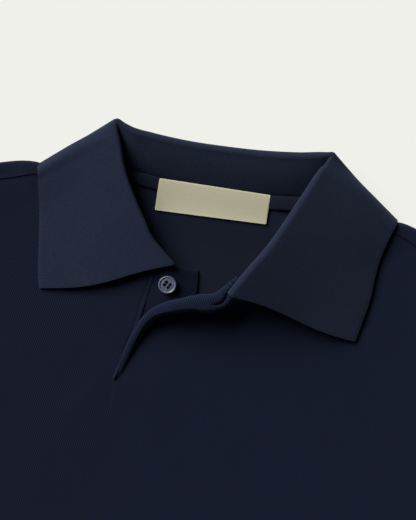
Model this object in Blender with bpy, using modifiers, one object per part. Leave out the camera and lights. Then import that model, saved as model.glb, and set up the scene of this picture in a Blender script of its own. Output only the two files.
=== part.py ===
"""A short-sleeved polo shirt, laid flat on its back with its collar open and one placket edge turned back.

+X is the wearer's left, +Y points to the head, +Z up from the surface that the shirt lies on. While it is
modelled, y = 0 is the line through the two top corners of the collar fold. The last step puts the origin at
the bottom centre of the whole shirt. Sizes are in metres, written as a number of millimetres.
"""

import math
from collections import namedtuple

import bmesh
import bpy
import numpy as np

MM = 0.001

# ---------------------------------------------------------------- driving sizes
CLOTH = 1.2 * MM            # body and sleeve knit
COLLAR_CLOTH = 1.5 * MM     # flat-knitted collar
SHOULDER_GAP = 1.0 * MM     # between the two edges of a shoulder seam
NECK_GAP = 0.8 * MM         # from the collar's seam edge to the body's neckline, seen from above
NECK_DROP = 1.6 * MM        # the front's neckline lies this far below the collar's seam edge
LAYER_GAP = 0.35 * MM       # between cloths that lie on each other
SIDE_GAP = 0.6 * MM         # between the front and the back along the side seams and the hem

BODY_LENGTH = 710 * MM      # high shoulder point to hem
SHOULDER_POINT = (224 * MM, -76 * MM)
HALF_CHEST = 265 * MM
HALF_HEM = 258 * MM
HIGH_SHOULDER_Y = -25 * MM
UNDERARM_Y = -301 * MM
HEM_Y = HIGH_SHOULDER_Y - BODY_LENGTH

SHOULDER_INNER_X = 78 * MM  # where the shoulder fold starts, beside the neck
BACK_NECK_HALF = 70.5 * MM  # half the width of the back panel's neckline
FORWARD_SEAM = 10 * MM      # the shoulder seam lies this far in front of the fold
SHOULDER_ROLL = 2.2 * MM    # radius of the shoulder fold

SLEEVE_LENGTH = 225 * MM
SLEEVE_DROOP = math.radians(28)
CUFF_WIDTH = 165 * MM
SLEEVE_SWELL = 1.5 * MM     # the sleeve's top rises this much between its ends
SLEEVE_FOLD_REACH = 1.6     # how far the fold below the sleeve bulges, against half its height
SLEEVE_FOLD_DEPTH = 1.25
ARMHOLE_GAP = 1.0 * MM

FRONT_LOFT = 2.7 * MM       # height of the front's middle over the back's
SHOULDER_LIFT = 0.8 * MM    # the front rises this much more at the shoulder seam
SIDE_FADE = 16 * MM         # width over which the front settles down to the side seams and the hem
SHOULDER_FADE = 30 * MM     # width over which it rises to the shoulder seam
NECK_FADE = 17 * MM         # reach of the lift at the neck seam
NECK_END_FADE = 5 * MM      # and at its front end on the turned-back side, where the cloth falls steeply
NECK_END_START = 0.5        # share of that side's neck seam where the reach starts to shrink
ROLL_DROP = 6 * MM          # width of the steep side of the turned-back edge
ROLL_SAG = 0.22             # fall of its top towards that side, against the top's width
FOOT_SHARE, FOOT_REACH = 0.12, 20 * MM  # what is left of its height past the steep side
PLACKET_FADE = 14 * MM      # reach of the slope beside the under placket

LEAF_SWAY = 1.4 * MM        # the leaves' front edges swing this much to either side of their line
SWAY_REACH = 34             # and this far round the neck from the front ends

COLLAR_UNDER_LIFT = 2.1 * MM  # the back panel rises this much over the collar's fall
FALL_EDGE_Y = -50 * MM      # lower edge of that fall at the back centre
FALL_EDGE_RISE = 12 * MM    # the edge is this much nearer the shoulder at its corner
FALL_CORNER_X = 112 * MM
FALL_FADE = (20 * MM, 18 * MM)  # width of the slope down from the lift: below it, and beside it

PLACKET_CLOTH = 1.8 * MM    # doubled body cloth
PLACKET_TUCK = 3.5 * MM     # the under placket's seam allowance beneath the front
PLACKET_TOP_Y = -86.4 * MM
PLACKET_FOOT_Y = -170 * MM
PLACKET_LOW, PLACKET_HIGH = 2.6 * MM, 7.2 * MM  # middle of its wall at the foot, and at the neck
PLACKET_CLIMB = (-125 * MM, -85 * MM)           # it climbs between these
PLACKET_PEAK = 0.3          # share of its width where it is highest
PLACKET_AT_SEAM = 0.72      # share of the climb that it has under the front's edge
PLACKET_TOP_SLOPE = 0.09    # its top edge falls this much towards its free corner
LIP_TURN_UNDER = 0.7        # width that the turned-back edge is folded under, against that of its top
LIP_TURN_LEAST = 0.4        # share of that width at the foot of the opening
LIP_TURN_GROWTH = 60 * MM   # distance from the foot over which it gets its full width

TAPE_WIDTHS = (7.1 * MM, 9.0 * MM)  # at its end on the wearer's right, and at the other end
TAPE_CLOTH = 1.0 * MM
TAPE_HALF_LENGTH = 66 * MM
LABEL_SIZE = (70.9 * MM, 20.4 * MM)
LABEL_SLANT = 1.7 * MM      # its lower edge is this much nearer the upper one at the wearer's left
LABEL_CENTRE = (-2.9 * MM, -42.6 * MM)
LABEL_CLOTH = 1.0 * MM
LABEL_EASE = 0.1 * MM       # the label stands this much higher than a layer would
LABEL_FALL = 1.2 * MM       # and its lower edge comes down this much, off the tape

BUTTON_DIAMETER = 11.4 * MM
BUTTON_THICKNESS = 2.6 * MM
BUTTON_SHANK = 0.8 * MM     # thread between the button and the placket
BUTTON_CENTRE = (-23.2 * MM, -97.8 * MM)
BUTTON_HOLE_DIAMETER = 1.7 * MM
BUTTON_HOLE_SPREAD = 1.55 * MM  # from the centre to a hole, along each diagonal axis
BUTTON_TURN = math.radians(12)

# How finely the pieces are divided.
COLLAR_STEPS = (6, 12, 10)  # back of the neck, round the shoulder, and the leaf
SHOULDER_STEPS = 10
NECK_STEPS = 12
LOW_STEPS, HIGH_STEPS = 5, 12  # rows below and above the underarm
CREST_STEPS = 140

# ---------------------------------------------------------------- shape tables, in millimetres
# The collar, station by station from the back centre round to a front end. Each row gives the place round
# the neck, the seam to the body, the axis of the fold, the middle of the fall, the free edge, and the fold's
# radius.
Station = namedtuple("Station", "round seam fold middle edge roll")
COLLAR_CENTRE = Station(0, (0, -33.0, 2.9), (0, -10.2, 14.6), (0, -12.5, 2.2), (0, -50, 0.75), 2.4)
BUTTON_SIDE = (
    Station(24, (-24, -32.4, 2.9), (-24, -10.3, 14.9), (-25, -12.6, 2.2), (-33, -49.5, 0.75), 2.4),
    Station(46, (-47, -30.6, 3.0), (-47, -8.8, 16.0), (-53, -12.3, 2.3), (-66, -47.5, 0.75), 2.4),
    Station(60, (-60, -28.4, 3.2), (-59.8, -6.8, 17.3), (-77, -15.0, 2.4), (-94, -44, 0.75), 2.0),
    Station(67, (-66.5, -24.6, 3.8), (-65.2, -3.9, 18.2), (-89, -20.0, 2.4), (-107, -42, 0.75), 1.4),
    Station(71.5, (-71.0, -21.4, 4.2), (-68.2, -3.7, 18.6), (-94.4, -20.6, 5.4), (-112.6, -37.5, 1.0), 1.0),
    Station(76, (-74.0, -21.4, 5.0), (-69.9, -5.9, 18.9), (-95.0, -20.2, 10.0), (-115.0, -34.2, 4.6), 1.0),
    Station(82, (-75.0, -26.5, 6.2), (-69.7, -9.4, 19.0), (-93.2, -22.5, 13.4), (-114.8, -37.7, 9.2), 1.1),
    Station(92, (-73.0, -34.0, 7.6), (-67.0, -14.0, 19.0), (-91, -31.0, 12.8), (-113.3, -46, 8.3), 1.1),
    Station(112, (-67.5, -45.0, 7.6), (-60.7, -32.5, 17.1), (-87, -48, 10.8), (-110.2, -62, 6.3), 1.1),
    Station(145, (-49.5, -71.0, 8.4), (-42.6, -63.8, 14.3), (-74, -77.5, 9.8), (-106.6, -90, 5.7), 1.1),
    Station(160, (-37.6, -79.6, 8.8), (-36.2, -72.9, 12.9), (-67.4, -90.2, 9.4), (-104.4, -101.6, 5.5), 1.1),
    Station(174, (-25.0, -87.2, 9.2), (-22.9, -84.2, 11.5), (-60, -101.7, 9.2), (-101.6, -112.7, 5.3), 1.0),
)
BUTTONHOLE_SIDE = (
    Station(24, (24, -32.4, 2.9), (24, -9.2, 14.9), (25, -12.0, 2.2), (33, -49.5, 0.75), 2.4),
    Station(46, (47, -30.6, 3.0), (47, -6.9, 16.0), (53, -11.0, 2.3), (66, -47.5, 0.75), 2.4),
    Station(60, (60, -28.4, 3.2), (58.6, -4.6, 17.3), (76, -14.6, 2.4), (94, -44, 0.75), 2.0),
    Station(67, (66.5, -24.6, 3.8), (63.0, -4.2, 18.2), (88, -21.5, 2.4), (106, -42.0, 0.75), 1.4),
    Station(71.5, (71.0, -21.4, 4.2), (66.2, -5.1, 18.6), (93.2, -22.2, 5.4), (111.6, -38.4, 1.1), 1.2),
    Station(76, (74.0, -21.4, 5.0), (67.4, -7.9, 18.9), (93.0, -21.8, 10.0), (114.0, -35.6, 4.0), 1.1),
    Station(82, (75.0, -26.5, 6.2), (66.2, -11.0, 20.5), (91.3, -24.2, 14.6), (113.0, -39.3, 8.9), 1.1),
    Station(92, (71.5, -34.0, 8.2), (61.4, -14.7, 22.5), (87.1, -31.9, 15.6), (110.8, -45.8, 8.3), 1.1),
    Station(112, (62.5, -46.0, 10.4), (51.3, -33.3, 26.5), (80.7, -51.1, 16.5), (106.6, -62, 6.5), 1.1),
    Station(145, (42.5, -76.0, 17.5), (34.4, -67.4, 31.0), (68.6, -85.0, 18.4), (104.4, -91, 5.9), 1.1),
    Station(160, (31.4, -86.9, 21.5), (25.2, -81.7, 33.0), (63.0, -96.3, 19.3), (102.6, -103.4, 5.6), 1.1),
    Station(174, (20.9, -96.6, 24.5), (15.6, -97.6, 34.5), (57.7, -106.7, 20.0), (101.0, -114.4, 5.3), 1.0),
)

# The shoulder fold, seen from above: distance from the centre, and y on the button side and on the other.
ShoulderRow = namedtuple("ShoulderRow", "out button_side buttonhole_side")
SHOULDER_FOLD = (
    ShoulderRow(78, -28.2, -28.2),
    ShoulderRow(100, -34.6, -34.9),
    ShoulderRow(112, -37.9, -38.9),
    ShoulderRow(119, -36.7, -39.0),
    ShoulderRow(126, -35.4, -39.9),
    ShoulderRow(140, -38.4, -44.0),
    ShoulderRow(180, -53.6, -57.8),
    ShoulderRow(224, -76.0, -76.0),
)

# The armhole, from the underarm up to the shoulder point: y, and half the body's width there.
ArmholeRow = namedtuple("ArmholeRow", "y out")
ARMHOLE = (
    ArmholeRow(-301, 265),
    ArmholeRow(-288, 247),
    ArmholeRow(-265, 233),
    ArmholeRow(-230, 223),
    ArmholeRow(-185, 217.5),
    ArmholeRow(-130, 217),
    ArmholeRow(-76, 224),
)

# The front opening. Button side: the line where the front panel ends on the under placket, from the foot of
# the opening up to the neck. Buttonhole side: the crest of the turned-back edge, with its height, its radius
# and the width of its top beyond the crest.
EdgeRow = namedtuple("EdgeRow", "x y")
BUTTON_SIDE_EDGE = (
    EdgeRow(-48.0, -163.0),
    EdgeRow(-47.2, -152.0),
    EdgeRow(-45.2, -142.0),
    EdgeRow(-39.9, -130.0),
    EdgeRow(-36.3, -116.2),
    EdgeRow(-32.2, -94.0),
    EdgeRow(-31.2, -89.0),
)
PLACKET_FREE_EDGE = (
    EdgeRow(-26.0, -170.0),
    EdgeRow(-12.0, -130.0),
    EdgeRow(-4.6, -100.0),
    EdgeRow(-5.6, -86.0),
)
CrestRow = namedtuple("CrestRow", "x y z radius shelf")
TURNED_EDGE = (
    CrestRow(-48.0, -163.0, 5.2, 0.7, 0.6),
    CrestRow(-44.2, -151.5, 6.0, 0.75, 1.4),
    CrestRow(-41.4, -141.0, 7.4, 1.0, 1.7),
    CrestRow(-37.4, -129.3, 10.0, 1.4, 1.8),
    CrestRow(-34.3, -122.6, 12.5, 1.6, 1.9),
    CrestRow(-29.6, -116.6, 15.5, 1.8, 2.1),
    CrestRow(-24.1, -112.7, 18.0, 2.2, 2.6),
    CrestRow(-18.6, -110.2, 19.8, 2.6, 3.0),
    CrestRow(-12.5, -108.1, 21.0, 2.8, 3.2),
    CrestRow(-6.5, -105.9, 22.0, 3.1, 4.0),
    CrestRow(-1.0, -104.4, 22.8, 3.4, 5.2),
    CrestRow(4.8, -103.4, 23.5, 3.5, 5.6),
    CrestRow(9.7, -101.0, 24.0, 3.3, 5.6),
    CrestRow(13.4, -96.7, 24.0, 2.8, 6.0),
    CrestRow(16.4, -92.1, 23.6, 2.0, 5.4),
    CrestRow(20.2, -87.1, 23.0, 1.2, 4.6),
)

# Soft waves that the laid cloth keeps: centre, reach along and across the crest, direction, and height.
WaveRow = namedtuple("WaveRow", "x y length width turn height")
WAVES = (
    WaveRow(-150, -330, 150, 34, 62, 1.6),
    WaveRow(170, -360, 170, 38, 116, 1.8),
    WaveRow(40, -520, 190, 46, 84, 1.4),
    WaveRow(-110, -600, 150, 40, 98, 1.2),
    WaveRow(175, -610, 120, 36, 76, 1.3),
    WaveRow(-175, -215, 90, 26, 38, 1.3),
    WaveRow(168, -205, 100, 28, 146, 1.4),
)

# The button's section from its centre round to its back: shares of its radius and of its thickness.
ButtonRow = namedtuple("ButtonRow", "out up")
BUTTON_PROFILE = (
    ButtonRow(0, 0.66),
    ButtonRow(0.56, 0.66),
    ButtonRow(0.68, 0.80),
    ButtonRow(0.72, 0.80),
    ButtonRow(0.76, 0.88),
    ButtonRow(0.88, 1),
    ButtonRow(0.97, 0.88),
    ButtonRow(1, 0.62),
    ButtonRow(0.93, 0.22),
    ButtonRow(0.7, 0),
    ButtonRow(0, 0),
)

COLOURS = {
    "body": (0.010, 0.015, 0.030),
    "collar": (0.016, 0.022, 0.042),
    "label": (0.42, 0.38, 0.27),
    "button": (0.10, 0.115, 0.16),
}


# ---------------------------------------------------------------- curves and blends
def smooth(knots, values, at):
    """A smooth curve through the rows of a table, whose slopes come from the neighbouring rows."""
    knots = np.asarray(knots, float)
    values = np.asarray(values, float).reshape(len(knots), -1)
    at = np.atleast_1d(np.asarray(at, float))
    step = np.diff(knots)[:, None]
    rise = np.diff(values, axis=0) / step
    slope = np.empty_like(values)
    slope[1:-1] = (rise[:-1] * step[1:] + rise[1:] * step[:-1]) / (step[:-1] + step[1:])
    slope[0], slope[-1] = rise[0], rise[-1]
    i = np.clip(np.searchsorted(knots, at, side="right") - 1, 0, len(knots) - 2)
    h = step[i]
    t = (np.clip(at, knots[0], knots[-1]) - knots[i])[:, None] / h
    return (
        (1 + 2 * t) * (1 - t) ** 2 * values[i]
        + t * (1 - t) ** 2 * h * slope[i]
        + t * t * (3 - 2 * t) * values[i + 1]
        + t * t * (t - 1) * h * slope[i + 1]
    )


def ease(value):
    """0 below 0, 1 above 1, and a smooth step between them."""
    value = np.clip(value, 0, 1)
    return value * value * (3 - 2 * value)


def fade(away, reach, power=2.0):
    """1 on a line, and less with the distance from it."""
    return np.exp(-((away / reach) ** power))


def blend(first, second, share):
    return first + (second - first) * share


def lengths(points):
    """Distance along a row of points, from its first one."""
    points = np.asarray(points, float)
    return np.concatenate([[0], np.cumsum(np.linalg.norm(np.diff(points, axis=0), axis=1))])


def spaced(points, count):
    """count + 1 points at even distances along a row of points."""
    run = lengths(points)
    at = np.linspace(0, run[-1], count + 1)
    return np.stack([np.interp(at, run, column) for column in points.T], axis=1)


def square_to(line):
    """For each point of a line in plan, the unit vector to its left."""
    run = np.gradient(line[:, :2], axis=0)
    run /= np.linalg.norm(run, axis=1)[:, None]
    return np.column_stack([-run[:, 1], run[:, 0]])


def nearest(points, line):
    """For each point, its distance in plan to a line of points, and the index of the line's nearest one."""
    gaps = np.linalg.norm(points[:, None, :2] - line[None, :, :2], axis=2)
    index = gaps.argmin(axis=1)
    return gaps[np.arange(len(points)), index], index


# ---------------------------------------------------------------- the collar
def collar_stations():
    """Every station of the collar, from one front end round the back to the other front end."""
    button_side = [row._replace(round=-row.round) for row in reversed(BUTTON_SIDE)]
    return [*button_side, COLLAR_CENTRE, *BUTTONHOLE_SIDE]


STATIONS = collar_stations()
COLLAR_REACH = STATIONS[-1].round
COLLAR_TURN = (46, 92)      # the collar turns over the shoulder between these places round the neck
BACK_NECK_REACH = 69        # the back panel's neckline ends here
FRONT_NECK_START = 83       # and the front's starts here


def collar_line(column, at):
    """One column of the collar's table as a smooth curve, in metres."""
    knots = [row.round for row in STATIONS]
    return smooth(knots, [getattr(row, column) for row in STATIONS], at) * MM


def touch(point, centre, radius, turn):
    """Where a straight line from point touches a circle, on the side that turn gives."""
    to_centre = centre - point
    far = math.hypot(*to_centre)
    angle = math.atan2(to_centre[1], to_centre[0]) + turn * math.asin(min(0.999, radius / far))
    reach = math.sqrt(max(far * far - radius * radius, 0))
    return point + reach * np.array([math.cos(angle), math.sin(angle)])


def collar_section(at, stand_steps=3, roll_steps=5, fall_steps=4, tail_steps=3, step=1.0):
    """The collar's middle surface at one place: up the stand, over the fold and down the fall."""
    seam, fold, middle, edge = (collar_line(c, at)[0] for c in ("seam", "fold", "middle", "edge"))
    radius = float(collar_line("roll", at)[0, 0])
    ahead = collar_line("fold", min(at + step, COLLAR_REACH))[0]
    behind = collar_line("fold", max(at - step, -COLLAR_REACH))[0]
    run = (ahead - behind)[:2]
    run = run / np.linalg.norm(run)
    out = np.array([-run[1], run[0]])

    def flat(point):
        away = point[:2] - fold[:2]
        return np.array([away @ out, point[2]]), away @ run

    def solid(pair, drift):
        return np.array([*(fold[:2] + pair[0] * out + drift * run), pair[1]])

    centre = np.array([0.0, fold[2]])
    (seam_pair, seam_drift), (middle_pair, middle_drift) = flat(seam), flat(middle)
    on, off = touch(seam_pair, centre, radius, 1), touch(middle_pair, centre, radius, -1)
    first = math.atan2(*(on - centre)[::-1])
    last = math.atan2(*(off - centre)[::-1])
    if last > first:
        last -= 2 * math.pi
    stand = np.arange(stand_steps) / stand_steps
    points = [solid(blend(seam_pair, on, share), seam_drift * (1 - share)) for share in stand]
    for angle in np.linspace(first, last, roll_steps + 1):
        points.append(solid(centre + radius * np.array([math.cos(angle), math.sin(angle)]), 0.0))
    knots = lengths([points[-1], solid(middle_pair, middle_drift), edge])
    fall = np.concatenate(
        [np.linspace(0, knots[1], fall_steps + 1)[1:], np.linspace(knots[1], knots[2], tail_steps + 1)[1:]]
    )
    fall_points = smooth(knots, [points[-1], middle, edge], fall)
    near_end = ease((abs(at) - COLLAR_REACH) / SWAY_REACH + 1)
    sway = LEAF_SWAY * near_end * np.sin(2 * math.pi * fall / knots[-1]) * math.copysign(1, at)
    fall_points[:, :2] -= sway[:, None] * run[None, :]
    points = np.vstack([points, fall_points])
    points[:, 2] = np.maximum(points[:, 2], COLLAR_CLOTH / 2)
    return points


def collar_places():
    """Places round the neck, close together where the collar turns over the shoulder."""
    knots = (0, *COLLAR_TURN, COLLAR_REACH)
    half = [np.linspace(*ends, endpoint=False) for ends in zip(knots, knots[1:], COLLAR_STEPS)]
    half = np.concatenate([*half, [COLLAR_REACH]])
    return np.concatenate([-half[:0:-1], half])


def seam_line(first, last, count=160):
    """The neck seam between two places round the neck."""
    return collar_line("seam", np.linspace(first, last, count))


NECK_BACK = seam_line(-BACK_NECK_REACH, BACK_NECK_REACH)
NECK_BUTTON_SIDE = seam_line(-COLLAR_REACH, -FRONT_NECK_START)
NECK_BUTTONHOLE_SIDE = seam_line(FRONT_NECK_START, COLLAR_REACH)
CREST_RUN = lengths([row[:2] for row in TURNED_EDGE])
CREST = smooth(CREST_RUN, TURNED_EDGE, np.linspace(0, CREST_RUN[-1], CREST_STEPS + 1)) * MM


# ---------------------------------------------------------------- outlines and heights of the body
def half_width(y):
    """Half the body's width at a height: the side seam below the underarm, and the armhole above it."""
    y = np.asarray(y, float)
    side = blend(HALF_HEM, HALF_CHEST, ease((y - HEM_Y) / (UNDERARM_Y - HEM_Y)))
    hole = smooth([row.y for row in ARMHOLE], [row.out for row in ARMHOLE], y / MM)[:, 0] * MM
    return np.where(y < UNDERARM_Y, side, hole.reshape(y.shape))


def shoulder_fold_y(x):
    """Where the shoulder fold lies, seen from above."""
    x = np.atleast_1d(x)
    out = [row.out for row in SHOULDER_FOLD]
    button = smooth(out, [row.button_side for row in SHOULDER_FOLD], np.abs(x) / MM)[:, 0]
    other = smooth(out, [row.buttonhole_side for row in SHOULDER_FOLD], np.abs(x) / MM)[:, 0]
    return np.where(x < 0, button, other) * MM


def back_height(x, y):
    """Middle of the back panel's wall over the floor. It rises where the collar's fall lies beneath it."""
    clear = (2 * MM, 5 * MM)
    edge = FALL_EDGE_Y + FALL_EDGE_RISE * (x / FALL_CORNER_X) ** 2
    below = ease((edge - clear[0] - y) / FALL_FADE[0])
    outside = ease((np.abs(x) - FALL_CORNER_X - clear[1]) / FALL_FADE[1])
    return CLOTH / 2 + COLLAR_UNDER_LIFT * (1 - below) * (1 - outside)


def wave_height(x, y):
    """The soft waves of the laid cloth."""
    total = np.zeros_like(x)
    for row in WAVES:
        turn = math.radians(row.turn)
        dx, dy = x / MM - row.x, y / MM - row.y
        along = dx * math.cos(turn) + dy * math.sin(turn)
        across = -dx * math.sin(turn) + dy * math.cos(turn)
        total += row.height * MM * np.exp(-((along / row.length) ** 2) - (across / row.width) ** 2)
    return total


def edge_x(table, y):
    """Where an edge of the opening lies at y. Past the ends of its table it keeps to the end's x."""
    return smooth([row.y for row in table], [row.x for row in table], np.atleast_1d(y) / MM)[:, 0] * MM


def placket_height(x, y):
    """Middle of the under placket's wall. It climbs to the collar, and falls away to its free edge."""
    foot, neck = PLACKET_CLIMB
    left, right = edge_x(BUTTON_SIDE_EDGE, y), edge_x(PLACKET_FREE_EDGE, y)
    across = (x - left) / (right - left)
    rise = blend(PLACKET_AT_SEAM, 1, ease(across / PLACKET_PEAK))
    rise = rise * (1 - ease((across - PLACKET_PEAK) / (1 - PLACKET_PEAK)))
    return PLACKET_LOW + (PLACKET_HIGH - PLACKET_LOW) * rise * ease((y - foot) / (neck - foot))


def placket_slope(x, y, step=4 * MM):
    """Rise of the under placket along x and along y."""
    along_x = placket_height(x + step, y) - placket_height(x - step, y)
    along_y = placket_height(x, y + step) - placket_height(x, y - step)
    return float(along_x[0]) / (2 * step), float(along_y[0]) / (2 * step)


def laid_front_height(x, y):
    """Middle of the front panel's wall, before the neck and the opening lift it."""
    past_underarm = 0.6 * np.maximum(y - UNDERARM_Y, 0)
    from_edge = np.minimum(half_width(y) - np.abs(x) + past_underarm, y - HEM_Y)
    inside = ease(from_edge / SIDE_FADE)
    from_shoulder = shoulder_fold_y(x) - FORWARD_SEAM - y
    height = back_height(x, y) + blend(CLOTH + SIDE_GAP, FRONT_LOFT, inside) + wave_height(x, y) * inside
    return height + SHOULDER_LIFT * (1 - ease(from_shoulder / SHOULDER_FADE))


def over_placket(x, y, height):
    """The front's middle where it lies on the under placket, and a soft slope beside it."""
    left, right = edge_x(BUTTON_SIDE_EDGE, y) - PLACKET_TUCK, edge_x(PLACKET_FREE_EDGE, y)
    away = np.maximum.reduce([left - x, x - right, PLACKET_FOOT_Y - y, np.zeros_like(x)])
    cover = placket_height(x, y) + (PLACKET_CLOTH + CLOTH) / 2 + LAYER_GAP
    return blend(height, np.maximum(cover, height), fade(away, PLACKET_FADE))


def turned_edge_height(points, height):
    """Lifts the front to the turned-back edge: a rounded top, a steep outer side and a soft foot."""
    away, index = nearest(points, CREST)
    crest_z, shelf = CREST[index, 2], CREST[index, 4]
    top = crest_z - ROLL_SAG * shelf * np.minimum(away / shelf, 1.4) ** 2
    steep = 1 - ease((away - shelf) / ROLL_DROP)
    foot = FOOT_SHARE * fade(np.maximum(away - shelf, 0), FOOT_REACH, 1.2)
    return blend(height, np.maximum(top, height), blend(foot, 1, steep))


def front_height(x, y, neck, turned=False):
    """The front panel's middle, lifted to the neck seam and, where asked, to the turned-back edge."""
    points = np.stack([x, y], axis=1)
    height = laid_front_height(x, y)
    away, index = nearest(points, neck)
    reach = NECK_FADE
    if turned:
        near_end = ease((index / (len(neck) - 1) - NECK_END_START) / (1 - NECK_END_START))
        reach = blend(NECK_FADE, NECK_END_FADE, near_end)
    height = blend(height, neck[index, 2] - NECK_DROP, fade(away, reach, 1.5))
    if turned:
        height = turned_edge_height(points, height)
    return over_placket(x, y, height)


# ---------------------------------------------------------------- meshes
class Sheet:
    """Collects the points and the faces of one cloth's middle surface. Points that coincide are one."""

    def __init__(self):
        self.points = []
        self.faces = []
        self.known = {}

    def point(self, place):
        key = tuple(round(c / (0.02 * MM)) for c in place)
        if key not in self.known:
            self.known[key] = len(self.points)
            self.points.append(tuple(float(c) for c in place))
        return self.known[key]

    def patch(self, grid, flip=False):
        """Faces over a grid of points, rows by columns."""
        ids = [[self.point(p) for p in row] for row in grid]
        for low, high in zip(ids, ids[1:]):
            for a, b, c, d in zip(low, low[1:], high[1:], high):
                face = [v for i, v in enumerate((a, b, c, d)) if v not in (a, b, c, d)[:i]]
                if len(face) > 2:
                    self.faces.append(face[::-1] if flip else face)


def new_object(name, mesh, colour, roughness=0.85):
    """A named object of one material in the shirt's collection."""
    material = bpy.data.materials.get(colour) or bpy.data.materials.new(colour)
    material.use_nodes = True
    shader = material.node_tree.nodes["Principled BSDF"]
    shader.inputs["Base Color"].default_value = (*COLOURS[colour], 1)
    shader.inputs["Roughness"].default_value = roughness
    mesh.materials.append(material)
    made = bpy.data.objects.new(name, mesh)
    bpy.data.collections["polo_shirt"].objects.link(made)
    return made


def cloth(name, sheet, thickness, colour):
    """A wall of even thickness on both sides of a sheet's middle surface."""
    mesh = bpy.data.meshes.new(name)
    mesh.from_pydata(sheet.points, [], sheet.faces)
    mesh.validate()
    mesh.shade_smooth()
    made = new_object(name, mesh, colour)
    wall = made.modifiers.new("wall", "SOLIDIFY")
    wall.thickness = thickness
    wall.offset = 0
    wall.use_quality_normals = True
    return made


# ---------------------------------------------------------------- the pieces
def make_collar():
    """One knitted strip: stand, fold and fall, with its two leaves open at the front."""
    sheet = Sheet()
    sheet.patch([collar_section(at) for at in collar_places()])
    return cloth("collar", sheet, COLLAR_CLOTH, "collar")


def shoulder_wrap(x, steps=5):
    """The back panel's path over the shoulder fold at one x, up to the forward seam."""
    fold_y = float(shoulder_fold_y(x)[0])
    axis_y = fold_y - SHOULDER_ROLL
    low = float(back_height(np.array([x]), np.array([axis_y]))[0])
    turn = np.linspace(0, math.pi, steps + 1)
    arc = np.stack([axis_y + SHOULDER_ROLL * np.sin(turn), low + SHOULDER_ROLL * (1 - np.cos(turn))], axis=1)
    seam_y = fold_y - FORWARD_SEAM
    seam_z = low + FRONT_LOFT + SHOULDER_LIFT
    tail = [(blend(axis_y, seam_y, s), blend(arc[-1, 1], seam_z, ease(s))) for s in (0.5, 1.0)]
    path = np.vstack([arc, tail])
    return np.column_stack([np.full(len(path), x), path])


# Rows of points up the body. All the pieces that meet at the armhole and the side seam share them.
LOW_ROWS = np.linspace(HEM_Y, UNDERARM_Y, LOW_STEPS + 1)
HIGH_SHARE = 1 - np.linspace(1, 0, HIGH_STEPS + 1) ** 1.5
SHOULDER_X = np.linspace(SHOULDER_INNER_X, SHOULDER_POINT[0], SHOULDER_STEPS + 1)
ARMHOLE_FADE = 5            # power by which the armhole's curve fades from column to column


def armhole_line(top_y):
    """The armhole from the underarm to a height, as the row of points that body and sleeve share."""
    y = blend(UNDERARM_Y, top_y, HIGH_SHARE)
    line = np.column_stack([half_width(y), y])
    line[-1, 0] = SHOULDER_POINT[0]
    return line


def make_back():
    """The back panel. Over the shoulders it wraps to the front, up to the forward shoulder seam."""
    sheet = Sheet()
    neck_x = np.linspace(-BACK_NECK_HALF, BACK_NECK_HALF, NECK_STEPS + 1)
    tops = np.concatenate([-SHOULDER_X[::-1], neck_x, SHOULDER_X])
    neck_y = np.interp(tops, NECK_BACK[:, 0], NECK_BACK[:, 1]) - NECK_GAP
    on_neck = np.abs(tops) < SHOULDER_INNER_X - 1 * MM
    top_y = np.where(on_neck, neck_y, shoulder_fold_y(tops) - SHOULDER_ROLL)
    columns = []
    for x, y_top in zip(tops, top_y):
        y = np.concatenate([LOW_ROWS, blend(UNDERARM_Y, y_top, HIGH_SHARE[1:])])
        share = x / SHOULDER_POINT[0]
        side = half_width(y) * share
        straight = blend(HALF_CHEST, SHOULDER_POINT[0], (y - UNDERARM_Y) / (y_top - UNDERARM_Y)) * share
        across = np.where(y < UNDERARM_Y, side, blend(straight, side, abs(share) ** ARMHOLE_FADE))
        across[-1] = x
        columns.append(np.stack([across, y, back_height(across, y)], axis=1))
    sheet.patch(np.array(columns).transpose(1, 0, 2))
    for way in (-1, 1):
        wraps = [shoulder_wrap(x) for x in SHOULDER_X * way][::way]
        sheet.patch(np.array(wraps).transpose(1, 0, 2))
    return cloth("back", sheet, CLOTH, "body")


def shoulder_seam(side):
    """The front panel's shoulder edge, from the neck out to the shoulder point."""
    x = SHOULDER_X * side
    fold_y = shoulder_fold_y(x)
    low = back_height(x, fold_y - SHOULDER_ROLL)
    return np.stack([x, fold_y - FORWARD_SEAM - SHOULDER_GAP, low + FRONT_LOFT + SHOULDER_LIFT], axis=1)


FOOT_X, FOOT_Y = BUTTON_SIDE_EDGE[0].x * MM, BUTTON_SIDE_EDGE[0].y * MM


def off_the_neck(line):
    """A stretch of the neck seam in plan, moved outwards by the gap at the neckline."""
    away = square_to(line)
    return line[:, :2] + NECK_GAP * away * np.sign(away[:, 0] * line[:, 0])[:, None]


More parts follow.
